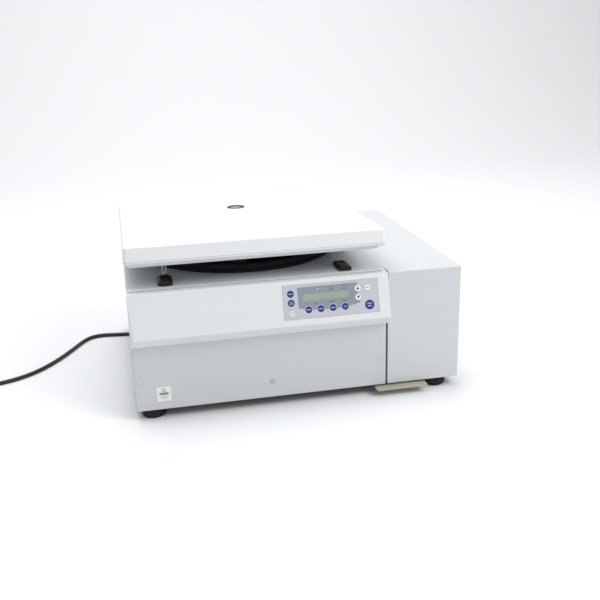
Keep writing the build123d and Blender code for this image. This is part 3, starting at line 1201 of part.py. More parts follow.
# ---- mains lead ----
def lead_connector():
    """Rewirable connector pushed into the inlet, with its tapered strain relief."""
    x = inlet_x
    nose_wide, nose_tall = INLET_WIDTH - 5.0, INLET_TALL - 5.0
    nose = block((x - nose_wide / 2, x + nose_wide / 2), (rear - 4.5, rear + 3),
                 (INLET_HEIGHT - nose_tall / 2, INLET_HEIGHT + nose_tall / 2))
    y0 = rear + 2.5
    grip = Pos(x, y0, INLET_HEIGHT) * Rot(-90, 0, 0) * rounded_plate(CONNECTOR_WIDTH, CONNECTOR_TALL, 6, 0,
                                                                     CONNECTOR_LENGTH)
    grip = fillet(grip.edges().group_by(Axis.Y)[-1], 3)
    relief = Pos(x, y0 + CONNECTOR_LENGTH + RELIEF_LENGTH / 2 - 1, INLET_HEIGHT) * Rot(-90, 0, 0) * Cone(
        RELIEF_RADIUS, LEAD_DIAMETER / 2 + 0.6, RELIEF_LENGTH)
    return nose + grip + relief


lead_y = 2.5 + CONNECTOR_LENGTH + RELIEF_LENGTH - 1
lead_z = LEAD_DIAMETER / 2
# the lead's route, from the strain relief down to the bench, under the machine's left rear and out to the
# coil: along X from the inlet, along Y from the rear panel, and height
LEAD_STEPS = [
    (0, lead_y, INLET_HEIGHT), (0, 117, INLET_HEIGHT), (-3, 161, 58), (-31, 196, 38), (-79, 199, 19),
    (-115, 165, 7.5), (-119, 101, lead_z), (-120, 36, lead_z), (-115, -29, lead_z), (-150, -64, lead_z),
    (-205, -62, lead_z), (-253, -55, lead_z), (-290, -47.5, lead_z), (-320.8, -62.8, lead_z),
    (-345.3, -112.3, lead_z), (-390, -196, lead_z), (-434, -256.5, lead_z), (-477, -291, lead_z),
    (-522, -309.5, lead_z), (-569, -319, lead_z), (-607, -321.2, lead_z),
]
lead_route = [(inlet_x + x, rear + y, z) for x, y, z in LEAD_STEPS]


def bend_radii(route):
    """The largest arc at each inner point: 0.45 of the shorter run over the tangent of half the turn."""
    radii = []
    for before, here, after in zip(route, route[1:], route[2:]):
        a, b = Vector(*here) - Vector(*before), Vector(*after) - Vector(*here)
        turn = radians(a.get_angle(b))
        radii.append(0.45 * min(a.length, b.length) / tan(turn / 2))
    return radii


def mains_lead():
    """Free mains lead as a tube of straight runs and tangent arcs."""
    path = FilletPolyline(*lead_route, radius=bend_radii(lead_route))
    start = Plane(origin=lead_route[0], z_dir=Vector(*lead_route[1]) - Vector(*lead_route[0]))
    return sweep(start * Circle(LEAD_DIAMETER / 2), path=path)


coil_x = inlet_x + COIL_FROM_INLET[0]
coil_y = rear + COIL_FROM_INLET[1]
coil_top = COIL_TURNS_HIGH * LEAD_DIAMETER


def lead_coil():
    """Outer shape of the coiled remainder of the lead."""
    half = COIL_TURNS_WIDE * LEAD_DIAMETER / 2
    return rod_z(COIL_RADIUS + half, 0, coil_top, coil_x, coil_y) - rod_z(
        COIL_RADIUS - half, -1, coil_top + 1, coil_x, coil_y)


def mains_plug():
    """Two-pin mains plug that lies on the coil, its round face on the turns: face, tapered grip and tail."""
    x = coil_x + sqrt(COIL_RADIUS ** 2 - PLUG_ACROSS ** 2)
    y, z = coil_y + PLUG_ACROSS, coil_top + PLUG_FACE_RADIUS
    face_x = PLUG_FACE / 2
    grip_x = face_x - PLUG_FACE
    tail_x = grip_x - PLUG_GRIP
    end_x = tail_x - RELIEF_LENGTH * 0.7
    outline = [(end_x, 0), (end_x, LEAD_DIAMETER / 2 + 0.7), (tail_x, RELIEF_RADIUS), (tail_x, RELIEF_RADIUS + 1),
               (grip_x, PLUG_GRIP_RADIUS), (grip_x, PLUG_FACE_RADIUS - 1), (grip_x + 1, PLUG_FACE_RADIUS),
               (face_x - 1, PLUG_FACE_RADIUS), (face_x, PLUG_FACE_RADIUS - 1), (face_x, 0)]
    body = revolve(make_face(Polyline(*[(px, r, 0) for px, r in outline], close=True)), Axis.X)
    for side in (-1, 1):
        body += rod_x(PLUG_PIN_RADIUS, face_x - 1, face_x + PLUG_PIN_LENGTH, side * PLUG_PIN_SPACING / 2, 0)
    return Pos(x, y, z) * body


def main():
    save("base_pan", base_pan())
    save("feet", pair(foot, feet_at))
    save("top_hood", top_hood())
    save("front_panel", front_panel())
    save("panel_plugs", pair(panel_plug, plugs_at))
    save("rear_panel", rear_panel())
    save("control_fascia", control_fascia())
    save("keypad_overlay", keypad_overlay())
    save("display_module", display_module())
    save("keypad_board", keypad_board())
    for name, (x, down, radius) in KEYS.items():
        save(name, key(x, down, radius))
    save("chamber_bowl", chamber_bowl())
    save("chamber_seal", chamber_seal())
    save("chamber_insulation", chamber_insulation())
    save("evaporator_coil", evaporator_coil())
    save("guard_ring", guard_ring())
    save("motor_housing", motor_housing())
    save("rubber_mounts", rubber_mounts())
    save("drive_shaft", drive_shaft())
    save("rotor_yoke", rotor_yoke())
    save("rotor_nut", rotor_nut())
    save("bucket_left", bucket(-1))
    save("bucket_right", bucket(1))
    save("lid_shell", lid_shell())
    save("lid_liner", lid_liner())
    save("lid_seal_disc", lid_seal_disc())
    save("viewing_port", viewing_port())
    save("lid_window", lid_window())
    save("lid_strikers", pair(striker, lock_xs))
    save("hinge_arms", pair(hinge_arm, hinge_xs))
    save("hinge_brackets", pair(hinge_bracket, hinge_xs))
    save("hinge_pins", pair(hinge_pin, hinge_xs))
    save("hinge_springs", pair(hinge_spring, [(x, side) for x in hinge_xs for side in (-1, 1)]))
    save("lock_covers", pair(lock_cover, lock_xs))
    save("lock_bolt_left", lock_bolt(lock_xs[0]))
    save("lock_bolt_right", lock_bolt(lock_xs[1]))
    save("lock_motors", pair(lock_motor, lock_xs))
    save("drip_tray", drip_tray())
    save("compressor", compressor())
    save("condenser", condenser())
    save("fan_shroud", fan_shroud())
    save("fan_impeller", fan_impeller())
    save("fan_guard", fan_guard())
    save("drive_board", drive_board())
    save("power_inlet", power_inlet())
    save("power_rocker", power_rocker())
    save("lead_connector", lead_connector())
    save("mains_lead", mains_lead())
    save("lead_coil", lead_coil())
    save("mains_plug", mains_plug())


main()
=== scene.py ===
"""Looks of the refrigerated benchtop centrifuge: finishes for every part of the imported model, the free mains
lead, and the small pieces that only show, such as printed marks, screws and trim. Metres, +Z up, -Y the front.
"""
from math import cos, pi, radians, sin, sqrt

import bmesh
import bpy
from mathutils import Matrix, Vector
from mathutils.geometry import convex_hull_2d, delaunay_2d_cdt


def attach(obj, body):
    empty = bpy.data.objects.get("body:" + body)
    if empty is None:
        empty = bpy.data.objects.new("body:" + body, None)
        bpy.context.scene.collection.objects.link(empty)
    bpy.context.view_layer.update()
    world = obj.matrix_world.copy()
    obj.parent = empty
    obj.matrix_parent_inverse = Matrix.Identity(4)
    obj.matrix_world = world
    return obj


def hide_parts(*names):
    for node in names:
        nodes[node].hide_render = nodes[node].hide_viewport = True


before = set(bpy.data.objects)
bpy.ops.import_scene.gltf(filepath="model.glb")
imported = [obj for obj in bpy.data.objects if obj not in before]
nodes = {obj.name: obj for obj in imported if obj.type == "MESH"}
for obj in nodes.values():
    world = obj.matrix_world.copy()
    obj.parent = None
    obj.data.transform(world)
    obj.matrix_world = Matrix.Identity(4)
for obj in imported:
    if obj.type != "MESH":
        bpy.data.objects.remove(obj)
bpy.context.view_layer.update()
MM = 0.001

# Places that several pieces share, in millimetres.
AXIS_X, AXIS_Y = -83.0, 21.0                # the rotor's axis
HINGE_Y, HINGE_Z = 277.0, 293.0             # the line that the lid turns about
HINGE_XS = (-281.0, 115.0)                  # the middles of the two hinges
AJAR = radians(2.3)                         # how far the springs hold the lid open
LID_DOWN = (0.0, -sin(AJAR), -cos(AJAR))    # which way the underside of the open lid faces
FRONT_Y, REAR_Y, DECK_Z = -279.0, 301.0, 275.0


# ---- finishes ----
class Wire:
    """A shader socket that works in arithmetic: each operator adds a Math node to its finish."""

    def __init__(self, finish, socket):
        self.finish, self.socket = finish, socket

    def maths(self, operation, *terms):
        return self.finish.node("Math", {"operation": operation}, *terms)

    def __add__(self, other):
        return self.maths("ADD", self, other)

    def __sub__(self, other):
        return self.maths("SUBTRACT", self, other)

    def __rsub__(self, other):
        return self.maths("SUBTRACT", other, self)

    def __mul__(self, other):
        return self.maths("MULTIPLY", self, other)

    __radd__ = __add__
    __rmul__ = __mul__

    def step(self, low, high):
        """0 below low, 1 above high, smooth between."""
        return self.finish.node("MapRange", {"interpolation_type": "SMOOTHSTEP"}, self, low, high, 0.0, 1.0)


class Finish:
    """A material on one Principled shader. Constants go on its sockets; grain, tint and wear come from node()."""

    def __init__(self, name, colour, roughness, **sockets):
        self.material = bpy.data.materials.new(name)
        self.material.use_nodes = True
        self.tree = self.material.node_tree
        self.shader = self.tree.nodes["Principled BSDF"]
        self.colour = (*colour, 1.0)
        self.set(Base_Color=self.colour, Roughness=roughness, **sockets)
        self.place = self.node("TexCoord", {}, output="Object")

    def set(self, **sockets):
        for name, value in sockets.items():
            socket = self.shader.inputs[name.replace("_", " ")]
            if isinstance(value, Wire):
                self.tree.links.new(value.socket, socket)
            else:
                socket.default_value = value

    def node(self, kind, settings, *values, output=0):
        """Adds a node: settings first, then the values or links of its sockets in order, None to skip one."""
        made = self.tree.nodes.new("ShaderNode" + kind)
        for key, value in settings.items():
            setattr(made, key, value)
        sockets = [s for s in made.inputs if s.enabled]
        for socket, value in zip(sockets, values):
            if isinstance(value, Wire):
                self.tree.links.new(value.socket, socket)
            elif value is not None:
                socket.default_value = value
        outputs = {s.name: s for s in made.outputs if s.enabled}
        return Wire(self, outputs[output] if isinstance(output, str) else list(outputs.values())[0])

    def noise(self, scale, detail=3.0, roughness=0.5, stretch=(1.0, 1.0, 1.0)):
        where = self.node("Mapping", {}, self.place, None, None, Vector(stretch))
        return self.node("TexNoise", {}, where, scale, detail, roughness)

    def mix(self, share, first, second):
        return self.node("Mix", {"data_type": "RGBA"}, share, first, second, output="Result")

    def bump(self, height, strength, distance):
        normal = self.node("Bump", {}, strength, distance, None, height)
        self.set(Normal=normal)
        return self


def shade(colour, factor):
    return tuple(min(1.0, c * factor) for c in colour[:3]) + (1.0,)


def painted(name, colour, roughness, peel=0.14, tint=0.02):
    """Stoved paint on sheet: orange peel, a slow drift of gloss, and the faint dulling that handling leaves."""
    f = Finish(name, colour, roughness, Specular_IOR_Level=0.45)
    peel_height = f.noise(620.0, 2.0, 0.45)
    drift = f.noise(7.0, 4.0, 0.6)
    specks = f.noise(210.0, 5.0, 0.7).step(0.60, 0.78)
    f.set(Base_Color=f.mix(drift * 0.7 + specks * 0.3, shade(colour, 1 + tint), shade(colour, 1 - tint)),
          Roughness=roughness - 0.05 + drift * 0.1 + specks * 0.05)
    return f.bump(peel_height, peel, 0.0002).material


def moulded(name, colour, roughness, grain=0.3, scale=1500.0, tint=0.02):
    """Injection-moulded plastic: spark-eroded grain, gloss that drifts with flow, faint handling marks."""
    f = Finish(name, colour, roughness, Specular_IOR_Level=0.4)
    fine = f.noise(scale, 2.0, 0.6)
    flow = f.noise(11.0, 3.0, 0.55, (1.0, 1.0, 2.5))
    rub = f.noise(70.0, 6.0, 0.65).step(0.58, 0.8)
    f.set(Base_Color=f.mix(flow * 0.8 + rub * 0.2, shade(colour, 1 + tint), shade(colour, 1 - tint)),
          Roughness=roughness - 0.06 + flow * 0.08 + rub * 0.06)
    return f.bump(fine, grain, 0.0001).material


def rubber(name, colour, roughness, dust):
    """Rubber: matt, a little bloom of dust on it, fine pitting."""
    f = Finish(name, colour, roughness, Specular_IOR_Level=0.3)
    pits = f.noise(900.0, 4.0, 0.6)
    bloom = f.noise(60.0, 6.0, 0.65).step(0.42, 0.85)
    f.set(Base_Color=f.mix(bloom * dust, f.colour, (0.32, 0.32, 0.31, 1.0)), Roughness=roughness + bloom * 0.1)
    return f.bump(pits, 0.25, 0.0002).material


def brushed(name, colour, roughness, along, streak=0.22):
    """Brushed or ground metal: long fine streaks along one way, patches where the polish differs."""
    f = Finish(name, colour, roughness, Metallic=1.0)
    stretch = {"x": (0.02, 1.0, 1.0), "y": (1.0, 0.02, 1.0), "z": (1.0, 1.0, 0.02)}[along]
    lines = f.noise(1400.0, 3.0, 0.6, stretch)
    patch = f.noise(18.0, 4.0, 0.6)
    f.set(Base_Color=f.mix(patch, shade(colour, 1.04), shade(colour, 0.9)),
          Roughness=roughness - 0.08 + lines * streak + patch * 0.06)
    return f.bump(lines, 0.12, 0.00005).material


def spun(name, colour, centre, roughness=0.26):
    """Metal turned or spun on a vertical axis: fine rings about that axis, and polish that comes and goes."""
    f = Finish(name, colour, roughness, Metallic=1.0)
    from_axis = f.node("VectorMath", {"operation": "SUBTRACT"}, f.place, Vector((centre[0], centre[1], 0.0)))
    flat = f.node("VectorMath", {"operation": "MULTIPLY"}, from_axis, Vector((1.0, 1.0, 0.0)))
    reach = f.node("VectorMath", {"operation": "LENGTH"}, flat, output="Value")
    height = f.node("SeparateXYZ", {}, from_axis, output="Z")
    ring = f.node("CombineXYZ", {}, reach, height, 0.0)
    rings = f.node("TexNoise", {}, ring, 900.0, 3.0, 0.65)
    patch = f.noise(14.0, 4.0, 0.6)
    f.set(Base_Color=f.mix(patch, shade(colour, 1.05), shade(colour, 0.88)),
          Roughness=roughness - 0.08 + rings * 0.2 + patch * 0.08)
    return f.bump(rings, 0.15, 0.00006).material


def cast(name, colour, roughness, grain):
    """Painted casting: pebbled skin with worn high spots."""
    f = Finish(name, colour, roughness)
    skin = f.noise(420.0, 5.0, 0.6)
    worn = f.noise(55.0, 5.0, 0.7).step(0.62, 0.75)
    f.set(Base_Color=f.mix(worn * 0.35, f.colour, shade(colour, 1.8)), Roughness=roughness + skin * 0.12 - worn * 0.08)
    return f.bump(skin, grain, 0.0002).material


def foam(name, colour):
    """Poured foam: open cells and a skin that has yellowed in patches."""
    f = Finish(name, colour, 0.9, Specular_IOR_Level=0.1)
    cells = f.node("TexVoronoi", {"feature": "F1"}, f.place, None, 420.0, output="Distance")
    aged = f.noise(9.0, 4.0, 0.6)
    f.set(Base_Color=f.mix(aged, f.colour, (0.62, 0.5, 0.27, 1.0)))
    return f.bump(cells, 0.7, 0.001).material


def copper_tube(name):
    """Copper tube: drawn lines along it, brown oxide in blotches."""
    f = Finish(name, (0.72, 0.36, 0.2), 0.3, Metallic=1.0)
    oxide = f.noise(60.0, 6.0, 0.65).step(0.45, 0.7)
    lines = f.noise(900.0, 2.0, 0.5, (1.0, 1.0, 0.05))
    f.set(Base_Color=f.mix(oxide * 0.6, f.colour, (0.2, 0.09, 0.05, 1.0)), Roughness=0.22 + oxide * 0.3 + lines * 0.08)
    return f.bump(lines, 0.1, 0.0001).material


def circuit(name):
    """Solder resist over tracks: a grid of slightly raised copper under green lacquer."""
    f = Finish(name, (0.03, 0.2, 0.08), 0.35, Coat_Weight=0.4)
    cells = f.node("TexBrick", {"offset": 0.5}, f.place, (0.02, 0.15, 0.06, 1), (0.035, 0.24, 0.1, 1),
                   (0.06, 0.32, 0.14, 1), 260.0, 0.03, 0.1, 0.0, 0.6, 0.4)
    grime = f.noise(40.0, 4.0, 0.6)
    f.set(Base_Color=cells, Roughness=0.28 + grime * 0.16)
    return f.bump(grime, 0.08, 0.0002).material


def display_glass(name):
    """Reflective liquid crystal: yellow-green ground with the faint dot grid of its cells."""
    f = Finish(name, (0.36, 0.41, 0.34), 0.2, Coat_Weight=0.5, Coat_Roughness=0.05)
    x = f.node("SeparateXYZ", {}, f.place, output="X")
    z = f.node("SeparateXYZ", {}, f.place, output="Z")
    grid = f.node("Math", {"operation": "SINE"}, x * 7800.0) * f.node("Math", {"operation": "SINE"}, z * 7800.0)
    drift = f.noise(30.0, 3.0, 0.5)
    f.set(Base_Color=f.mix(drift * 0.6 + grid * 0.12, (0.32, 0.375, 0.305, 1), (0.42, 0.475, 0.395, 1)),
          Roughness=0.12 + drift * 0.08)
    return f.bump(grid, 0.02, 0.00005).material


def clear_window(name):
    """Polished clear disc with a trace of wipe marks."""
    f = Finish(name, (0.9, 0.94, 0.95), 0.05, Transmission_Weight=0.75, IOR=1.49)
    wipes = f.noise(35.0, 4.0, 0.6, (1.0, 4.0, 1.0))
    f.set(Roughness=0.02 + wipes.step(0.5, 0.9) * 0.12)
    return f.bump(wipes, 0.03, 0.0002).material


def printed(name, colour, roughness=0.4):
    """Screen ink: dense, with a little unevenness from the mesh."""
    f = Finish(name, colour, roughness)
    mesh = f.noise(2600.0, 2.0, 0.5)
    patch = f.noise(60.0, 3.0, 0.5)
    f.set(Base_Color=f.mix(patch, shade(colour, 1.06), shade(colour, 0.94)), Roughness=roughness - 0.04 + mesh * 0.1)
    return f.bump(mesh, 0.08, 0.00005).material


FINISHES = {
    "white_paint": painted("housing_white_paint", (0.612, 0.630, 0.644), 0.36),
    "grey_paint": painted("panel_paint", (0.583, 0.600, 0.613), 0.40, 0.2),
    "lid_plastic": painted("lid_white_paint", (0.798, 0.810, 0.818), 0.30, 0.08),
    "fascia_plastic": moulded("fascia_plastic", (0.741, 0.755, 0.772), 0.4),
    "keypad_foil": moulded("keypad_foil", (0.53, 0.55, 0.585), 0.46, 0.35, 2400.0),
    "key_blue": moulded("key_blue_plastic", (0.034, 0.042, 0.225), 0.34, 0.12, 2600.0),
    "key_white": moulded("key_white_plastic", (0.82, 0.83, 0.85), 0.34, 0.12, 2600.0),
    "lcd": display_glass("display_glass"),
    "board_green": circuit("circuit_board"),
    "black_rubber": rubber("black_rubber", (0.011, 0.011, 0.013), 0.72, 0.03),
    "black_plastic": moulded("black_plastic", (0.010, 0.011, 0.013), 0.5, 0.4, 1300.0, 0.06),
    "liner_steel": painted("liner_light_grey_paint", (0.66, 0.68, 0.69), 0.34),
    "stainless": spun("bowl_stainless", (0.60, 0.61, 0.62), (AXIS_X * MM, AXIS_Y * MM)),
    "steel": brushed("turned_steel", (0.52, 0.52, 0.53), 0.3, "z"),
    "bright_steel": brushed("bright_steel", (0.72, 0.72, 0.73), 0.16, "x", 0.1),
    "armour_steel": cast("armour_grey_paint", (0.11, 0.115, 0.12), 0.6, 0.4),
    "foam": foam("insulation_foam", (0.74, 0.68, 0.46)),
    "copper": copper_tube("copper_tube"),
    "aluminium": brushed("rotor_aluminium", (0.62, 0.63, 0.65), 0.34, "y", 0.18),
    "dark_aluminium": brushed("dark_anodised_aluminium", (0.16, 0.165, 0.175), 0.38, "y", 0.18),
    "compressor_black": cast("compressor_black_paint", (0.022, 0.022, 0.025), 0.36, 0.35),
    "window": clear_window("port_window"),
    "tray_cream": moulded("tray_cream_plastic", (0.43, 0.41, 0.335), 0.42),
    "zinc": brushed("zinc_plate", (0.6, 0.61, 0.6), 0.42, "x", 0.2),
}
INK_BLUE = printed("ink_dark_blue", (0.03, 0.035, 0.2))
INK_WHITE = printed("ink_white", (0.75, 0.77, 0.83))
INK_LABEL = printed("ink_label_pale_blue", (0.44, 0.46, 0.62))
INK_GREY = printed("ink_panel_grey_blue", (0.265, 0.288, 0.335), 0.42)
INK_CELL = printed("display_cells", (0.27, 0.31, 0.25), 0.3)
INK_DARK = printed("ink_dark_grey", (0.07, 0.075, 0.11))
INK_PALE = printed("ink_pale_ring", (0.62, 0.64, 0.69))
INK_RIM = printed("ink_key_rim", (0.40, 0.42, 0.47))
# grey ink painted as the thin shade line along the keypad foil's edge
KEYPAD_EDGE_SHADE = printed("ink_keypad_edge", (0.33, 0.35, 0.40))
# grey ink painted as the shade in the seams round the front plugs and in the groove over the lid's rim bead
INK_PAINTED_SHADE = printed("plug_seam_shade", (0.42, 0.44, 0.46))
INK_CAP = printed("middle_plug_grey", (0.42, 0.44, 0.45))
INK_SOFT = printed("ink_soft_grey", (0.25, 0.27, 0.27))
INK_GREEN = printed("ink_green", (0.13, 0.36, 0.13))
STICKER_WHITE = printed("sticker_white", (0.80, 0.82, 0.82), 0.3)
WEBBING = rubber("strap_webbing", (0.03, 0.03, 0.033), 0.85, 0.05)


for node in nodes.values():
    for slot in node.material_slots:
        slot.material = FINISHES[slot.material.name.split(".")[0]]
nodes["base_pan"].material_slots[0].material = painted("base_pan_coat", (0.085, 0.09, 0.095), 0.5)
nodes["lid_strikers"].material_slots[0].material = brushed("striker_steel", (0.30, 0.30, 0.31), 0.34, "z", 0.2)


# ---- helpers for pieces ----
def added(name, data):
    """A new object in the scene, unmoved."""
    made = bpy.data.objects.new(name, data)
    bpy.context.scene.collection.objects.link(made)
    return made


def piece(name, mesh, body, finish, smooth=35.0):
    """Puts a finished mesh into the scene, riding on a body."""
    mesh.materials.clear()
    mesh.materials.append(finish)
    mesh.polygons.foreach_set("use_smooth", [True] * len(mesh.polygons))
    mesh.set_sharp_from_angle(angle=radians(smooth))
    made = added(name, mesh)
    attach(made, body)
    return made


def written(name, shell):
    """The mesh of a bmesh, which is freed."""
    mesh = bpy.data.meshes.new(name)
    shell.to_mesh(mesh)
    shell.free()
    return mesh


def joined(name, meshes):
    """Meshes made into one, its seams closed and its normals outward."""
    shell = bmesh.new()
    for mesh in meshes:
        shell.from_mesh(mesh)
        bpy.data.meshes.remove(mesh)
    bmesh.ops.remove_doubles(shell, verts=shell.verts, dist=1e-6)
    bmesh.ops.recalc_face_normals(shell, faces=shell.faces)
    return written(name, shell)


def mesh_of(name, points, faces):
    mesh = bpy.data.meshes.new(name)
    mesh.from_pydata([tuple(p) for p in points], [], faces)
    return joined(name, [mesh])


def lathe(name, outline, place, steps):
    """Turns a closed outline of (radius, height) points about a local Z axis that place puts into the model."""
    points, faces = [], []
    count = len(outline)
    for step in range(steps):
        angle = 2 * pi * step / steps
        points += [place @ Vector((r * cos(angle), r * sin(angle), z)) for r, z in outline]
    for step in range(steps):
        a, b = step * count, (step + 1) % steps * count
        for i in range(count):
            j = (i + 1) % count
            faces.append((a + i, a + j, b + j, b + i))
    return mesh_of(name, points, faces)


def round_wire(name, route, diameter, steps, facets):
    """A round NURBS curve on the points of its route, in metres."""
    curve = bpy.data.curves.new(name, "CURVE")
    curve.dimensions = "3D"
    spline = curve.splines.new("NURBS")
    spline.points.add(len(route) - 1)
    for point, where in zip(spline.points, route):
        point.co = (*where, 1.0)
    spline.order_u = 3
    spline.use_endpoint_u = True
    curve.resolution_u = steps
    curve.bevel_depth = diameter / 2
    curve.bevel_resolution = facets
    curve.use_fill_caps = True
    return added(name, curve)


def taken(holder):
    """What a curve or a modifier makes, as a plain mesh; its holder is removed."""
    bpy.context.view_layer.update()
    mesh = bpy.data.meshes.new_from_object(holder.evaluated_get(bpy.context.evaluated_depsgraph_get()))
    bpy.data.objects.remove(holder)
    return mesh


# ---- mains lead ----
INLET = Vector((-0.135, REAR_Y * MM, 0.072))
LEAD = 0.009
# The route after the inlet, in millimetres; x and y are counted from the inlet and z from the bench.
LEAD_STEPS = [
    (0, 75.5, 72), (0, 117, 72), (-3, 161, 58), (-31, 196, 38), (-79, 199, 19),
    (-115, 165, 7.5), (-119, 101, 4.5), (-120, 36, 4.5), (-115, -29, 4.5), (-150, -64, 4.5),
    (-205, -62, 4.5), (-253, -55, 4.5), (-288, -48.5, 4.5), (-315, -57.5, 4.5),
    (-335, -83, 4.5), (-352, -121, 4.5), (-390, -196, 4.5), (-434, -256.5, 4.5), (-477, -291, 4.5),
    (-522, -309.5, 4.5), (-569, -319, 4.5), (-607, -321.2, 4.5),
]
COIL = (INLET.x - 0.627, INLET.y - 0.2627)    # the middle of the put-away coil
# Radius and height of each lane of the coil, and the turns over which the lead changes to the next.
LANES = [(58.7, 4.5), (49.4, 4.5), (49.4, 13.8), (58.7, 13.8)]
CHANGES = [(0.80, 0.98), (1.62, 1.80), (2.44, 2.62)]
TURN_STEP = 1 / 18
TURNS = 3.14
COIL_RADIUS = 54.0
PLUG_LINE, PLUG_HEIGHT, PLUG_LENGTH = 35.0, 36.0, 55.0
PLUG_X = sqrt(COIL_RADIUS ** 2 - PLUG_LINE ** 2)


def coil_point(turn):
    """Where the lead is after so many turns of the coil, each lane lying on or beside the one before."""
    radius, height = LANES[0]
    for lane, (start, end) in enumerate(CHANGES):
        share = min(1.0, max(0.0, (turn - start) / (end - start)))
        share = share * share * (3 - 2 * share)
        radius += (LANES[lane + 1][0] - LANES[lane][0]) * share
        height += (LANES[lane + 1][1] - LANES[lane][1]) * share
    angle = -pi / 2 - 2 * pi * turn
    reach = radius / cos(pi * TURN_STEP) ** 0.5 * MM    # the curve runs a little inside its points
    return COIL[0] + reach * cos(angle), COIL[1] + reach * sin(angle), height * MM


def lead_points():
    route = [(INLET.x + x * MM, INLET.y + y * MM, z * MM) for x, y, z in LEAD_STEPS]
    count = int(TURNS / TURN_STEP)
    route += [coil_point(step * TURN_STEP) for step in range(count + 1)]
    rise = [(-51.6, -29.8, 15.4), (-58.8, -12.0, 18.9), (-59.0, 1.4, 23.0), (-52.6, 16.8, 28.2),
            (-40.8, 28.6, 32.6), (-25.4, PLUG_LINE, 35.7), (PLUG_X - PLUG_LENGTH + 3.0, PLUG_LINE, PLUG_HEIGHT)]
    route += [(COIL[0] + x * MM, COIL[1] + y * MM, z * MM) for x, y, z in rise]
    return route


def make_lead():
    made = round_wire("mains_cord", lead_points(), LEAD, 6, 5)
    made.data.materials.append(moulded("lead_black_sheath", (0.018, 0.018, 0.02), 0.42, 0.25, 900.0, 0.08))
    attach(made, "housing")
    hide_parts("mains_lead", "lead_coil")
    return made


# ---- flat marks and plates ----
# Each face's own frame: x and y lie on it, and z stands out of it. The keypad's starts at its top left corner.
LEAN_BACK, LEAN_UP = 0.2819, 0.9594         # the slope of the fascia
KEYPAD = Matrix.Translation((-0.0405, FRONT_Y * MM, 0.2725)) @ Matrix(
    ((1, 0, 0), (0, LEAN_BACK, -LEAN_UP), (0, LEAN_UP, LEAN_BACK))).to_4x4()
FRONT = Matrix.Translation((0, FRONT_Y * MM, 0)) @ Matrix(((1, 0, 0), (0, 0, -1), (0, 1, 0))).to_4x4()
REAR = Matrix.Translation((0, REAR_Y * MM, 0)) @ Matrix(((-1, 0, 0), (0, 0, 1), (0, 1, 0))).to_4x4()


def disc(x, y, radius, steps=40):
    return [(x + radius * cos(2 * pi * k / steps), y + radius * sin(2 * pi * k / steps)) for k in range(steps)]


def bar(x, y, width, height, corner=0.3, steps=4):
    """A rounded rectangle about (x, y)."""
    loop = []
    for quarter, (sx, sy) in enumerate(((1, 1), (-1, 1), (-1, -1), (1, -1))):
        for k in range(steps + 1):
            angle = pi / 2 * (quarter + k / steps)
            loop.append((x + sx * (width / 2 - corner) + corner * cos(angle),
                         y + sy * (height / 2 - corner) + corner * sin(angle)))
    return loop


def inside(point, loop):
    odd = False
    for (x0, y0), (x1, y1) in zip(loop, loop[1:] + loop[:1]):
        if (y0 > point[1]) != (y1 > point[1]) and point[0] < (x1 - x0) * (point[1] - y0) / (y1 - y0) + x0:
            odd = not odd
    return odd


def add_plate(shell, loops, place, low, high):
    """Adds a flat plate between two heights: the first loop is its edge and the others are holes, in millimetres."""
    flat, edges = [], []
    for loop in loops:
        start = len(flat)
        flat += [Vector(point) for point in loop]
        edges += [(start + k, start + (k + 1) % len(loop)) for k in range(len(loop))]
    spots, _, faces, _, _, _ = delaunay_2d_cdt(flat, edges, [], 0, 1e-5)
    kept = []
    for face in faces:
        middle = sum((spots[i] for i in face), Vector((0.0, 0.0))) / len(face)
        if inside(middle, loops[0]) and not any(inside(middle, hole) for hole in loops[1:]):
            kept.append(face)
    used = sorted({i for face in kept for i in face})
    top = {i: shell.verts.new(place @ (Vector((*spots[i], high)) * MM)) for i in used}
    foot = {i: shell.verts.new(place @ (Vector((*spots[i], low)) * MM)) for i in used}
    sides = {(face[k - 1], face[k]) for face in kept for k in range(len(face))}
    for face in kept:
        shell.faces.new([top[i] for i in face])
        shell.faces.new([foot[i] for i in reversed(face)])
    for a, b in sides:
        if (b, a) not in sides:
            shell.faces.new((foot[a], foot[b], top[b], top[a]))


def plates(name, groups, place, body, finish, low, high, slot=None):
    """One piece made of flat plates that lie on the same face."""
    shell = bmesh.new()
    for loops in groups:
        add_plate(shell, loops, place, low, high)
    piece(name, written(name, shell), body, finish)


# ---- keypad printing ----
KEY_SPOTS = {"left_1": (17.0, -26.0), "left_2": (17.0, -44.5), "left_3": (17.0, -66.0), "row_1": (52.5, -61.0),
             "row_2": (78.2, -61.0), "row_3": (103.9, -61.0), "row_4": (129.6, -61.0), "up": (159.0, -26.0),
             "down": (159.0, -44.0), "open": (180.0, -26.0), "start": (182.0, -62.0)}
ROW_KEYS = ["row_1", "row_2", "row_3", "row_4"]
WINDOW_X, WINDOW_Y = 91.0, -35.75
WINDOW = bar(WINDOW_X, WINDOW_Y, 95.6, 12.1, 0.5)
GLASS = -0.2                                # the display glass, below the foil
CAP_INK = (0.5, 0.54)                       # the ink on a key's cap, above the foil
CELLS, CELL_PITCH = 20, 4.55
BLANK_CELLS = (3, 7, 8, 12, 16)
STROKES = ((0, 2.2, 2.6, 0.5), (-1.3, 0, 0.5, 4.9), (1.3, 0, 0.5, 4.9), (0, 0, 2.1, 0.5), (0, -2.2, 2.6, 0.5))
SHAPES = ((1, 2), (0, 1, 2, 4), (0, 2, 3), (1, 2, 3), (0, 1, 4))


def ring(x, y, outer, inner):
    return [disc(x, y, outer), disc(x, y, inner)]


def cap_ink(name, key, loops, finish):
    """Ink that rides on a key's cap."""
    plates(name, loops, KEYPAD, f"key_{key}_cap", finish, *CAP_INK)


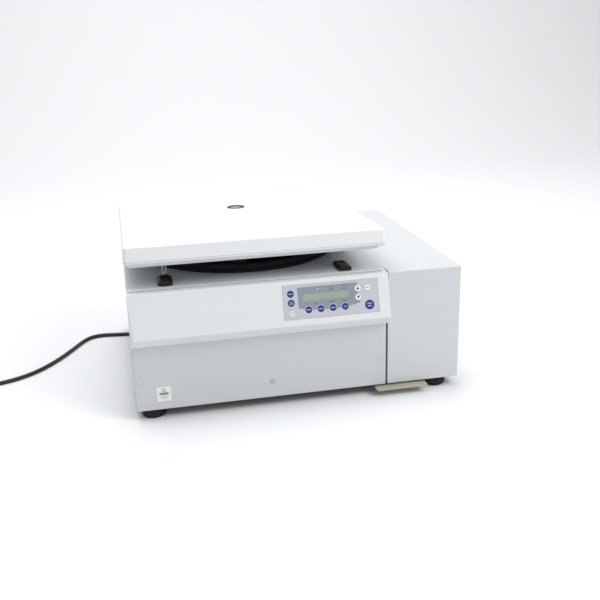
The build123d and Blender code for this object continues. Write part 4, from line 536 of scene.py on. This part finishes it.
def foil_printing():
    """Ink on the keypad foil: display panel, rings round the keys, plain bars for words, and a painted shade line along
    the foil's edge.
    """
    panel = [(31.2, -14.2), (157.4, -13.2), (159.0, -15.4), (158.9, -34.0), (162.5, -53.5), (160.8, -55.6),
             (139.9, -60.6), (127.0, -62.4), (115.6, -63.0), (88.6, -63.0), (60.4, -61.8), (45.0, -59.2), (31.9, -56.5)]
    clear = [disc(*KEY_SPOTS[key], 8.3) for key in ROW_KEYS]
    clear += [disc(*KEY_SPOTS[key], 7.5) for key in ("up", "down")]
    plates("ink_display_panel", [[panel, WINDOW, *clear]], KEYPAD, "housing", INK_GREY, 0.005, 0.04)
    rings = [ring(*KEY_SPOTS[key], 8.3, 7.4) for key in ["left_1", "left_2"] + ROW_KEYS]
    rings.append(ring(*KEY_SPOTS["start"], 11.3, 10.3))
    plates("ink_key_rings", rings, KEYPAD, "housing", INK_PALE, 0.005, 0.035)
    for key in ("up", "down", "open", "left_3"):
        cap_ink("ink_rim_" + key, key, [ring(*KEY_SPOTS[key], 6.9, 6.1)], INK_RIM)
    ticks = [bar(98.8, -20.8, 1.6, 1.9), bar(98.6, -24.7, 1.6, 1.9), bar(104.5, -17.7, 4.4, 1.0),
             bar(129.8, -17.7, 7.5, 1.0), bar(129.6, -23.4, 9.0, 1.2), bar(48.9, -48.4, 2.4, 1.6),
             bar(69.0, -49.2, 6.4, 1.6), bar(103.3, -48.6, 9.6, 1.4), bar(129.6, -48.7, 10.0, 1.4)]
    rims = [ring(104.7, -23.4, 2.4, 1.5), ring(74.0, -20.6, 2.3, 1.65)]
    plates("ink_panel_ticks", [[loop] for loop in ticks] + rims, KEYPAD, "housing", INK_DARK, 0.03, 0.06)
    # a thin grey outline painted as the shade along the foil's edge
    edge = [bar(101.5, -43.5, 202.4, 70.4, 0.6), bar(101.5, -43.5, 201.2, 69.2, 0.4)]
    plates("ink_keypad_edge", [edge], KEYPAD, "housing", KEYPAD_EDGE_SHADE, 0.0, 0.03)


def key_printing():
    """Plain bars in place of the keys' words, and two arrows."""
    labels = {"left_1": [(0, 0, 9.0, 1.6)], "left_2": [(0, 1.9, 6.4, 1.5), (0, -1.6, 8.6, 1.5)],
              "row_1": [(0, 0, 9.4, 1.7)], "row_2": [(0, 0, 9.4, 1.7)], "row_3": [(0, 0, 9.4, 1.7)],
              "row_4": [(0, 0, 6.4, 1.7)], "start": [(0, 2.8, 10.4, 2.0), (0, -2.4, 9.0, 2.0)],
              "open": [(0, 0, 7.2, 1.7)]}
    for key, bars in labels.items():
        x, y = KEY_SPOTS[key]
        loops = [[bar(x + dx, y + dy, wide, tall, 0.6)] for dx, dy, wide, tall in bars]
        cap_ink("ink_label_" + key, key, loops, INK_GREY if key == "open" else INK_LABEL)
    for key, way in (("up", 1), ("down", -1)):
        x, y = KEY_SPOTS[key]
        arrow = [(x - 3.5 * way, y - 2.6 * way), (x + 3.5 * way, y - 2.6 * way), (x, y + 3.5 * way)]
        cap_ink("ink_arrow_" + key, key, [[arrow]], INK_BLUE)


def display_characters():
    """Strokes in the display's cells, which spell nothing."""
    loops = []
    for k in range(CELLS):
        if k not in BLANK_CELLS:
            x = WINDOW_X + (k - (CELLS - 1) / 2) * CELL_PITCH
            shown = [STROKES[i] for i in SHAPES[(k * 7 + k // 3) % len(SHAPES)]]
            loops += [[bar(x + dx, WINDOW_Y + dy, wide, tall, 0.1, 1)] for dx, dy, wide, tall in shown]
    plates("display_characters", loops, KEYPAD, "housing", INK_CELL, GLASS - 0.1, GLASS + 0.03)


def turn_mark():
    """An arrow that sweeps most of the way round, on the lowest key of the left column."""
    x, y = KEY_SPOTS["left_3"]
    start, step, steps = -50.0, 11.5, 24
    sweep = [(x + r * cos(a), y + r * sin(a)) for r, way in ((3.9, range(steps + 1)), (2.8, range(steps, -1, -1)))
             for a in (radians(start + step * k) for k in way)]
    tip = radians(start + step * steps)
    head = [(x + r * cos(a), y + r * sin(a)) for r, a in ((5.3, tip), (1.4, tip), (3.3, tip + 0.85))]
    cap_ink("ink_turn_mark", "left_3", [[sweep], [head]], INK_GREY)


def status_lamp():
    lens = [(0.0, 0.0), (1.6, 0.0), (1.6, 0.2), (1.4, 0.4), (1.1, 0.6), (0.6, 0.75), (0.0, 0.8)]
    place = KEYPAD @ Matrix.Translation((0.074, -0.0206, 0.0)) @ Matrix.Scale(MM, 4)
    mesh = lathe("status_lamp_lens", lens, place, 32)
    piece("status_lamp_lens", mesh, "housing", FINISHES["key_white"], 50.0)


# ---- screws and other small hardware ----
def screw_tree():
    """Geometry Nodes: a pan head with a cross recess on each vertex, facing one way, turned at random."""
    tree = bpy.data.node_groups.new("pan_head_screws", "GeometryNodeTree")
    face = tree.interface
    for name, kind in (("Spots", "NodeSocketGeometry"), ("Head Radius", "NodeSocketFloat"),
                       ("Head Height", "NodeSocketFloat"), ("Facing", "NodeSocketVector"),
                       ("Seed", "NodeSocketInt"), ("Finish", "NodeSocketMaterial")):
        face.new_socket(name=name, in_out="INPUT", socket_type=kind)
    face.new_socket(name="Screws", in_out="OUTPUT", socket_type="NodeSocketGeometry")
    given = tree.nodes.new("NodeGroupInput").outputs

    def node(kind, settings, **links):
        made = tree.nodes.new(kind)
        for key, value in settings.items():
            setattr(made, key, value)
        sockets = {s.name: s for s in reversed([s for s in made.inputs if s.enabled])}
        for key, value in links.items():
            socket = sockets[key.replace("_", " ")]
            if isinstance(value, bpy.types.NodeSocket):
                tree.links.new(value, socket)
            else:
                socket.default_value = value
        return [s for s in made.outputs if s.enabled]

    def times(value, factor):
        made = tree.nodes.new("ShaderNodeMath")
        made.operation = "MULTIPLY"
        tree.links.new(value, made.inputs[0])
        made.inputs[1].default_value = factor
        return made.outputs[0]

    radius, height = given["Head Radius"], given["Head Height"]
    rim = node("GeometryNodeMeshCone", {"fill_type": "NGON"}, Vertices=20, Radius_Bottom=radius,
               Radius_Top=times(radius, 0.97), Depth=times(height, 0.55))[0]
    dome = node("GeometryNodeMeshCone", {"fill_type": "NGON"}, Vertices=20, Radius_Bottom=times(radius, 0.97),
                Radius_Top=times(radius, 0.62), Depth=times(height, 0.45))[0]
    lift = node("ShaderNodeCombineXYZ", {}, Z=times(height, 0.55))[0]
    dome = node("GeometryNodeTransform", {}, Geometry=dome, Translation=lift)[0]
    join = tree.nodes.new("GeometryNodeJoinGeometry")
    tree.links.new(rim, join.inputs[0])
    tree.links.new(dome, join.inputs[0])
    wide, narrow = times(radius, 1.05), times(radius, 0.2)
    slots = []
    for x, y in ((wide, narrow), (narrow, wide)):
        size = node("ShaderNodeCombineXYZ", {}, X=x, Y=y, Z=height)[0]
        cube = node("GeometryNodeMeshCube", {}, Size=size)[0]
        slots.append(node("GeometryNodeTransform", {}, Geometry=cube, Translation=node(
            "ShaderNodeCombineXYZ", {}, Z=times(height, 0.95))[0])[0])
    cut = tree.nodes.new("GeometryNodeMeshBoolean")
    cut.operation = "DIFFERENCE"
    cut.solver = "EXACT"
    tree.links.new(join.outputs[0], cut.inputs["Mesh 1"])
    for slot in slots:
        tree.links.new(slot, cut.inputs["Mesh 2"])
    facing = node("FunctionNodeAlignRotationToVector", {"axis": "Z"}, Vector=given["Facing"])[0]
    spin = node("FunctionNodeRandomValue", {"data_type": "FLOAT"}, Min=0.0, Max=2 * pi, Seed=given["Seed"])[0]
    turn = node("FunctionNodeAxisAngleToRotation", {}, Axis=(0.0, 0.0, 1.0), Angle=spin)[0]
    turned = node("FunctionNodeRotateRotation", {"rotation_space": "LOCAL"}, Rotation=facing, Rotate_By=turn)[0]
    placed = node("GeometryNodeInstanceOnPoints", {}, Points=given["Spots"], Instance=cut.outputs["Mesh"],
                  Rotation=turned)[0]
    real = node("GeometryNodeRealizeInstances", {}, Geometry=placed)[0]
    done = node("GeometryNodeSetMaterial", {}, Geometry=real, Material=given["Finish"])[0]
    tree.links.new(done, tree.nodes.new("NodeGroupOutput").inputs[0])
    return tree


def grown(tree, spots, given):
    """The mesh that a tree makes on these vertices, as a plain mesh."""
    mesh = bpy.data.meshes.new("spots")
    mesh.from_pydata([tuple(spot) for spot in spots], [], [])
    holder = added("spots", mesh)
    modifier = holder.modifiers.new("grow", "NODES")
    modifier.node_group = tree
    for item in tree.interface.items_tree:
        if item.in_out == "INPUT" and item.name in given:
            modifier[item.identifier] = given[item.name]
    return taken(holder)


def screws(name, spots, facing, radius, body, finish, seed):
    """Pan-head screws in one piece, at millimetre places, heads outward."""
    places = [Vector(spot) * MM for spot in spots]
    mesh = grown(SCREWS, places, {"Head Radius": radius * MM, "Head Height": radius * 0.62 * MM,
                                  "Facing": facing, "Seed": seed, "Finish": finish})
    piece(name, mesh, body, finish, 30.0)


def ajar(point):
    """A place given with the lid closed, swung to where the springs hold the lid open."""
    y, z = point[1] - HINGE_Y, point[2] - HINGE_Z
    c, s = cos(AJAR), sin(AJAR)
    return (point[0], HINGE_Y + y * c + z * s, HINGE_Z - y * s + z * c)


def round_about(x, y, reach, count, first):
    """Places evenly spaced on a circle, from a first angle in degrees."""
    return [(x + reach * cos(a), y + reach * sin(a)) for a in (radians(first + 360 / count * k) for k in range(count))]


def hardware():
    """The screws, each row given by the face its heads lie on."""
    plated = FINISHES["zinc"]
    edge = [(-338, 40), (-338, 150), (-338, 260), (-200, 262), (-60, 262), (80, 262), (170, 262), (338, 262),
            (338, 40), (170, 34), (20, 34), (-200, 34)]
    screws("rear_panel_screws", [(x, REAR_Y + 0.7, z) for x, z in edge], (0, 1, 0), 3.4, "housing", plated, 3)
    guard = [(x, REAR_Y + 4.4, z) for x, z in round_about(268.75, 150.0, 64.4, 4, 45.0)]
    screws("fan_guard_screws", guard, (0, 1, 0), 2.2, "housing", plated, 5)
    inlet = [(INLET.x / MM + x, REAR_Y + 2.4, 94.5) for x in (-18, 18)]
    screws("inlet_screws", inlet, (0, 1, 0), 2.0, "housing", plated, 8)
    brackets = [(x + dx, HINGE_Y + dy, DECK_Z + 3.5) for x in HINGE_XS for dx in (-27, 27) for dy in (-11, 11)]
    screws("bracket_screws", brackets, (0, 0, 1), 2.6, "housing", plated, 11)
    for name, side in (("left", -1), ("right", 1)):
        low = [(side * 350.7, y, 36) for y in (-215, 21, 257)]
        screws("side_screws_" + name, low, (side, 0, 0), 3.2, "housing", plated, 17 + side)
    flange = [ajar((AXIS_X + x, -263, 307.7)) for x in (-225, -75, 75, 225)]
    screws("liner_screws", flange, LID_DOWN, 2.8, "lid", plated, 23)
    seal = [ajar((x, y, 292.9)) for x, y in round_about(AXIS_X, AXIS_Y, 172.0, 8, 22.5)]
    screws("seal_disc_screws", seal, LID_DOWN, 2.8, "lid", FINISHES["black_plastic"], 29)


def torsion_springs():
    """Springs on the hinge pins, 2.6 turns each: one leg up against the lid's web, one down on the bracket."""
    radius, wire, turns, steps = 5.6, 2.3, 2.6, 36
    beside, advance, leg = 9.6, 5.0, 9.0
    springs = []
    for x in HINGE_XS:
        for side in (-1, 1):
            start = (x + side * beside, HINGE_Y - radius)
            path = [(*start, HINGE_Z + 14.0), (*start, HINGE_Z + 5.0)]
            for k in range(steps + 1):
                angle = pi - 2 * pi * turns * k / steps
                path.append((x + side * (beside + advance * k / steps), HINGE_Y + radius * cos(angle),
                             HINGE_Z + radius * sin(angle)))
            across, y, z = path[-1]
            path.append((across, y + leg * sin(angle), z - leg * cos(angle)))
            springs.append(taken(round_wire("spring", [Vector(p) * MM for p in path], wire * MM, 3, 2)))
    mesh = joined("torsion_springs", springs)
    made = piece("torsion_springs", mesh, "housing", FINISHES["steel"], 60.0)
    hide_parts("hinge_springs")


def front_marks():
    """A plain sticker on the front panel, painted shade rings at the seams of its round plugs, and the cap of one of
    them.
    """
    x = -292.0
    plates("front_sticker", [[bar(x + 0.3, 55.6, 29.0, 32.0, 2.2)]], FRONT, "housing", STICKER_WHITE, 0.0, 0.16)
    plates("front_sticker_patch", [[bar(x, 56.0, 19.0, 5.6, 1.6)]], FRONT, "housing", INK_GREEN, 0.15, 0.2)
    mark = [ring(x, 63.6, 4.2, 2.6), [bar(x, 49.6, 17.0, 1.1, 0.3)], [bar(x, 45.6, 12.5, 1.1, 0.3)]]
    plates("front_sticker_marks", mark, FRONT, "housing", INK_SOFT, 0.15, 0.2)
    middle = (-66.0, 56.6)
    # thin grey rings painted as the shade in the seams round the three plugs
    seam_shade_rings = [ring(*spot, 7.55, 6.95) for spot in ((-337.5, 86.0), (171.5, 86.0), middle)]
    plates("plug_seam_painted_shade", seam_shade_rings, FRONT, "housing", INK_PAINTED_SHADE, 0.0, 0.04)
    plates("middle_plug_cap", [[disc(*middle, 5.6)]], FRONT, "housing", INK_CAP, 0.48, 0.53)


def rating_plate():
    """A bare, ruled plate on the rear panel, held by four rivets."""
    x, y = 250.0, 205.0
    corners = [(x + dx, y + dy) for dy in (22.5, -22.5) for dx in (-44.5, 44.5)]
    plate = [bar(x, y, 96.0, 52.0, 3.0)] + [disc(*corner, 1.6, 20) for corner in corners]
    plates("rating_plate", [plate], REAR, "housing", FINISHES["aluminium"], 0.0, 0.5, "aluminium")
    ruling = [[bar(x, y, 84.0, 40.0, 2.0), bar(x, y, 82.6, 38.6, 1.4)]]
    ruling += [[bar(x, y + dy, 76.0, 0.6, 0.2)] for dy in (10.0, 0.0, -10.0)]
    plates("rating_plate_ruling", ruling, REAR, "housing", INK_SOFT, 0.45, 0.53)
    head = [(0, 0), (2.4, 0.4), (2.3, 0.9), (1.6, 1.4), (0.7, 1.65), (0, 1.7)]
    rivets = [lathe("rivet", head, REAR @ Matrix.Scale(MM, 4) @ Matrix.Translation((*corner, 0)), 24)
              for corner in corners]
    mesh = joined("plate_rivets", rivets)
    piece("plate_rivets", mesh, "housing", FINISHES["bright_steel"], 50.0)


def rocker_marks():
    """The line and the ring on the two halves of the rocker's hollow face."""
    rocker = Matrix.Translation((INLET.x, 0.298, 0.116)) @ Matrix.Rotation(radians(9), 4, "X")
    slope, straight = 0.1414, 0.9899
    for name, half, loops in (("on", 1, [bar(0, 0, 0.9, 4.2, 0.2)]), ("off", -1, ring(0, 0, 2.2, 1.5))):
        lean = slope * half
        face = Matrix(((-1, 0, 0), (0, -lean, straight), (0, straight, lean))).to_4x4()
        place = rocker @ Matrix.Translation((0, 0.0035, 0.0035 * half)) @ face
        plates("rocker_mark_" + name, [loops], place, "rocker", INK_WHITE, 0.0, 0.06)


def lid_trim():
    """The rolled rim of the lid's skirt, with the shadow line over it."""
    hinge = Vector((0, HINGE_Y, HINGE_Z)) * MM
    place = Matrix.Translation(hinge) @ Matrix.Rotation(-AJAR, 4, "X") @ Matrix.Translation(-hinge)

    def skirt(grow, corner):
        return bar(AXIS_X, 5.0, 534.0 + grow, 558.0 + grow, corner, 8)

    rim = [skirt(1.4, 7.7), skirt(-2.0, 6.4)]
    plates("lid_rim_bead", [rim], place, "lid", FINISHES["lid_plastic"], 311.0, 313.3, "lid_plastic")
    line = [skirt(-0.2, 6.9), skirt(-3.0, 5.5)]
    plates("lid_rim_shadow_line", [line], place, "lid", INK_PAINTED_SHADE, 313.5, 314.3)


def fascia_bead():
    """The low bead along the fascia's level strip, in three steps."""
    shell = bmesh.new()
    deck = Matrix.Translation((0, 0, DECK_Z * MM))
    for deep, low, high in ((12.0, -0.1, 0.45), (10.4, 0.4, 0.7), (8.0, 0.65, 0.85)):
        add_plate(shell, [bar(AXIS_X, -260, 516 + deep, deep, deep / 2 - 0.2, 6)], deck, low, high)
    mesh = written("fascia_top_bead", shell)
    piece("fascia_top_bead", mesh, "housing", FINISHES["fascia_plastic"], 60.0)


def ridges(name, starts, radius_at, place):
    """Rings round a tapered strain relief, along local Z in millimetres."""
    width, proud, sunk = 1.6, 0.8, 0.6
    rings = []
    for start in starts:
        a, b = radius_at(start), radius_at(start + width)
        outline = [(a - sunk, start), (a + proud * 0.7, start), (a + proud, start + 0.3 * width),
                   (b + proud, start + 0.7 * width), (b + proud * 0.7, start + width), (b - sunk, start + width)]
        rings.append(lathe(name, outline, place @ Matrix.Scale(MM, 4), 40))
    piece(name, joined(name, rings), "housing", FINISHES["black_rubber"], 50.0)


def coil_tie():
    """A strap round the coil, drawn tight on its three lanes."""
    angle = radians(128)                    # where on the coil it sits
    half_width, thick = 7.0, 0.9
    reach, lowest = 5.0, 0.05               # from the middle of a lane to the strap, and from the bench up
    lanes = [(r + reach * cos(a), z + reach * sin(a)) for r, z in ((58.7, 4.8), (49.4, 4.8), (49.4, 13.9))
             for a in (2 * pi * k / 24 for k in range(24))]
    outline = [Vector(lanes[i]) for i in convex_hull_2d([Vector(p) for p in lanes])]
    middle = sum(outline, Vector((0, 0))) / len(outline)
    out = Vector((cos(angle), sin(angle)))
    along = Vector((-sin(angle), cos(angle)))
    points, faces = [], []
    for shift in (-half_width, half_width):
        for grow in (0.0, thick):
            for p in outline:
                q = p + (p - middle).normalized() * grow
                flat = out * q.x + along * shift
                points.append(Vector((COIL[0] + flat.x * MM, COIL[1] + flat.y * MM, max(q.y, lowest) * MM)))
    n = len(outline)
    for k in range(n):
        m = (k + 1) % n
        faces += [(k, m, n + m, n + k), (2 * n + k, 3 * n + k, 3 * n + m, 2 * n + m),
                  (k, 2 * n + k, 2 * n + m, m), (n + k, n + m, 3 * n + m, 3 * n + k)]
    piece("coil_tie", mesh_of("coil_tie", points, faces), "housing", WEBBING, 40.0)


# ---- all the small pieces ----
coil_tie()
ridges("connector_ridges", [47.0 + 3.4 * k for k in range(8)], lambda y: 7.0 - 1.9 * (y - 45.5) / 30.0,
       Matrix.Translation(INLET) @ Matrix.Rotation(radians(-90), 4, "X"))
ridges("plug_ridges", [35.0 + 3.2 * k for k in range(6)], lambda x: 7.0 - 1.8 * (x - 34.0) / 21.0,
       Matrix.Translation((COIL[0] + PLUG_X * MM, COIL[1] + PLUG_LINE * MM, PLUG_HEIGHT * MM))
       @ Matrix.Rotation(radians(-90), 4, "Y"))
make_lead()
foil_printing()
key_printing()
display_characters()
turn_mark()
status_lamp()
SCREWS = screw_tree()
hardware()
torsion_springs()
front_marks()
rating_plate()
rocker_marks()
lid_trim()
fascia_bead()


# ---- stage, light and camera ----
def plain_stage():
    """A pale floor that curves up far behind, a hair under the feet."""
    half, front, under = 16.0, -24.0, 0.0002
    bend, radius, top = 2.5, 2.5, 5.0
    profile = [(front, 0.0), (bend, 0.0)]
    profile += [(bend + radius * sin(a), radius - radius * cos(a)) for a in (radians(9 * k) for k in range(1, 11))]
    profile += [(bend + radius, top)]
    points = [(x, y, z - under) for y, z in profile for x in (-half, half)]
    faces = [(2 * i, 2 * i + 1, 2 * i + 3, 2 * i + 2) for i in range(len(profile) - 1)]
    mesh = bpy.data.meshes.new("studio_floor")
    mesh.from_pydata(points, [], faces)
    mesh.polygons.foreach_set("use_smooth", [True] * len(mesh.polygons))
    f = Finish("studio_floor", (0.86, 0.87, 0.88), 0.6, Specular_IOR_Level=0.15)
    f.set(Roughness=0.55 + f.noise(6.0, 3.0, 0.5) * 0.1)
    mesh.materials.append(f.material)
    added("studio_floor", mesh)


def lamp(name, place, aim, size, power):
    data = bpy.data.lights.new(name, "AREA")
    data.shape, data.size, data.size_y = "RECTANGLE", size[0], size[1]
    data.energy = power
    made = added(name, data)
    made.location = place
    made.rotation_euler = (Vector(aim) - Vector(place)).to_track_quat("-Z", "Y").to_euler()


def look():
    """Soft light from above, from the front right and on the backdrop, and the camera."""
    scene = bpy.context.scene
    world = bpy.data.worlds.new("soft_white")
    scene.world = world
    world.use_nodes = True
    sky = world.node_tree.nodes["Background"].inputs
    sky["Color"].default_value = (0.97, 0.98, 1.0, 1.0)
    sky["Strength"].default_value = 0.52
    scene.view_settings.view_transform = "Standard"
    scene.view_settings.look = "None"
    scene.view_settings.exposure = 0.0
    lamp("overhead", place=(-0.4, 0.6, 3.1), aim=(0.0, 0.1, 0.2), size=(3.2, 2.0), power=66)
    lamp("front_right", place=(1.9, -1.9, 2.6), aim=(0.2, 0.0, 0.2), size=(1.8, 1.6), power=59)
    lamp("backdrop", place=(0.4, 2.6, 3.6), aim=(0.4, 5.0, 1.2), size=(5.0, 1.0), power=42)
    data = bpy.data.cameras.new("camera")
    data.lens, data.sensor_width = 50.415, 36.0
    data.clip_start, data.clip_end = 0.05, 60.0
    camera = added("camera", data)
    camera.location = (-0.3429, -1.8794, 0.7733)
    camera.rotation_euler = (radians(71.6539), radians(1.3612), radians(-12.4635))
    scene.camera = camera


plain_stage()
look()
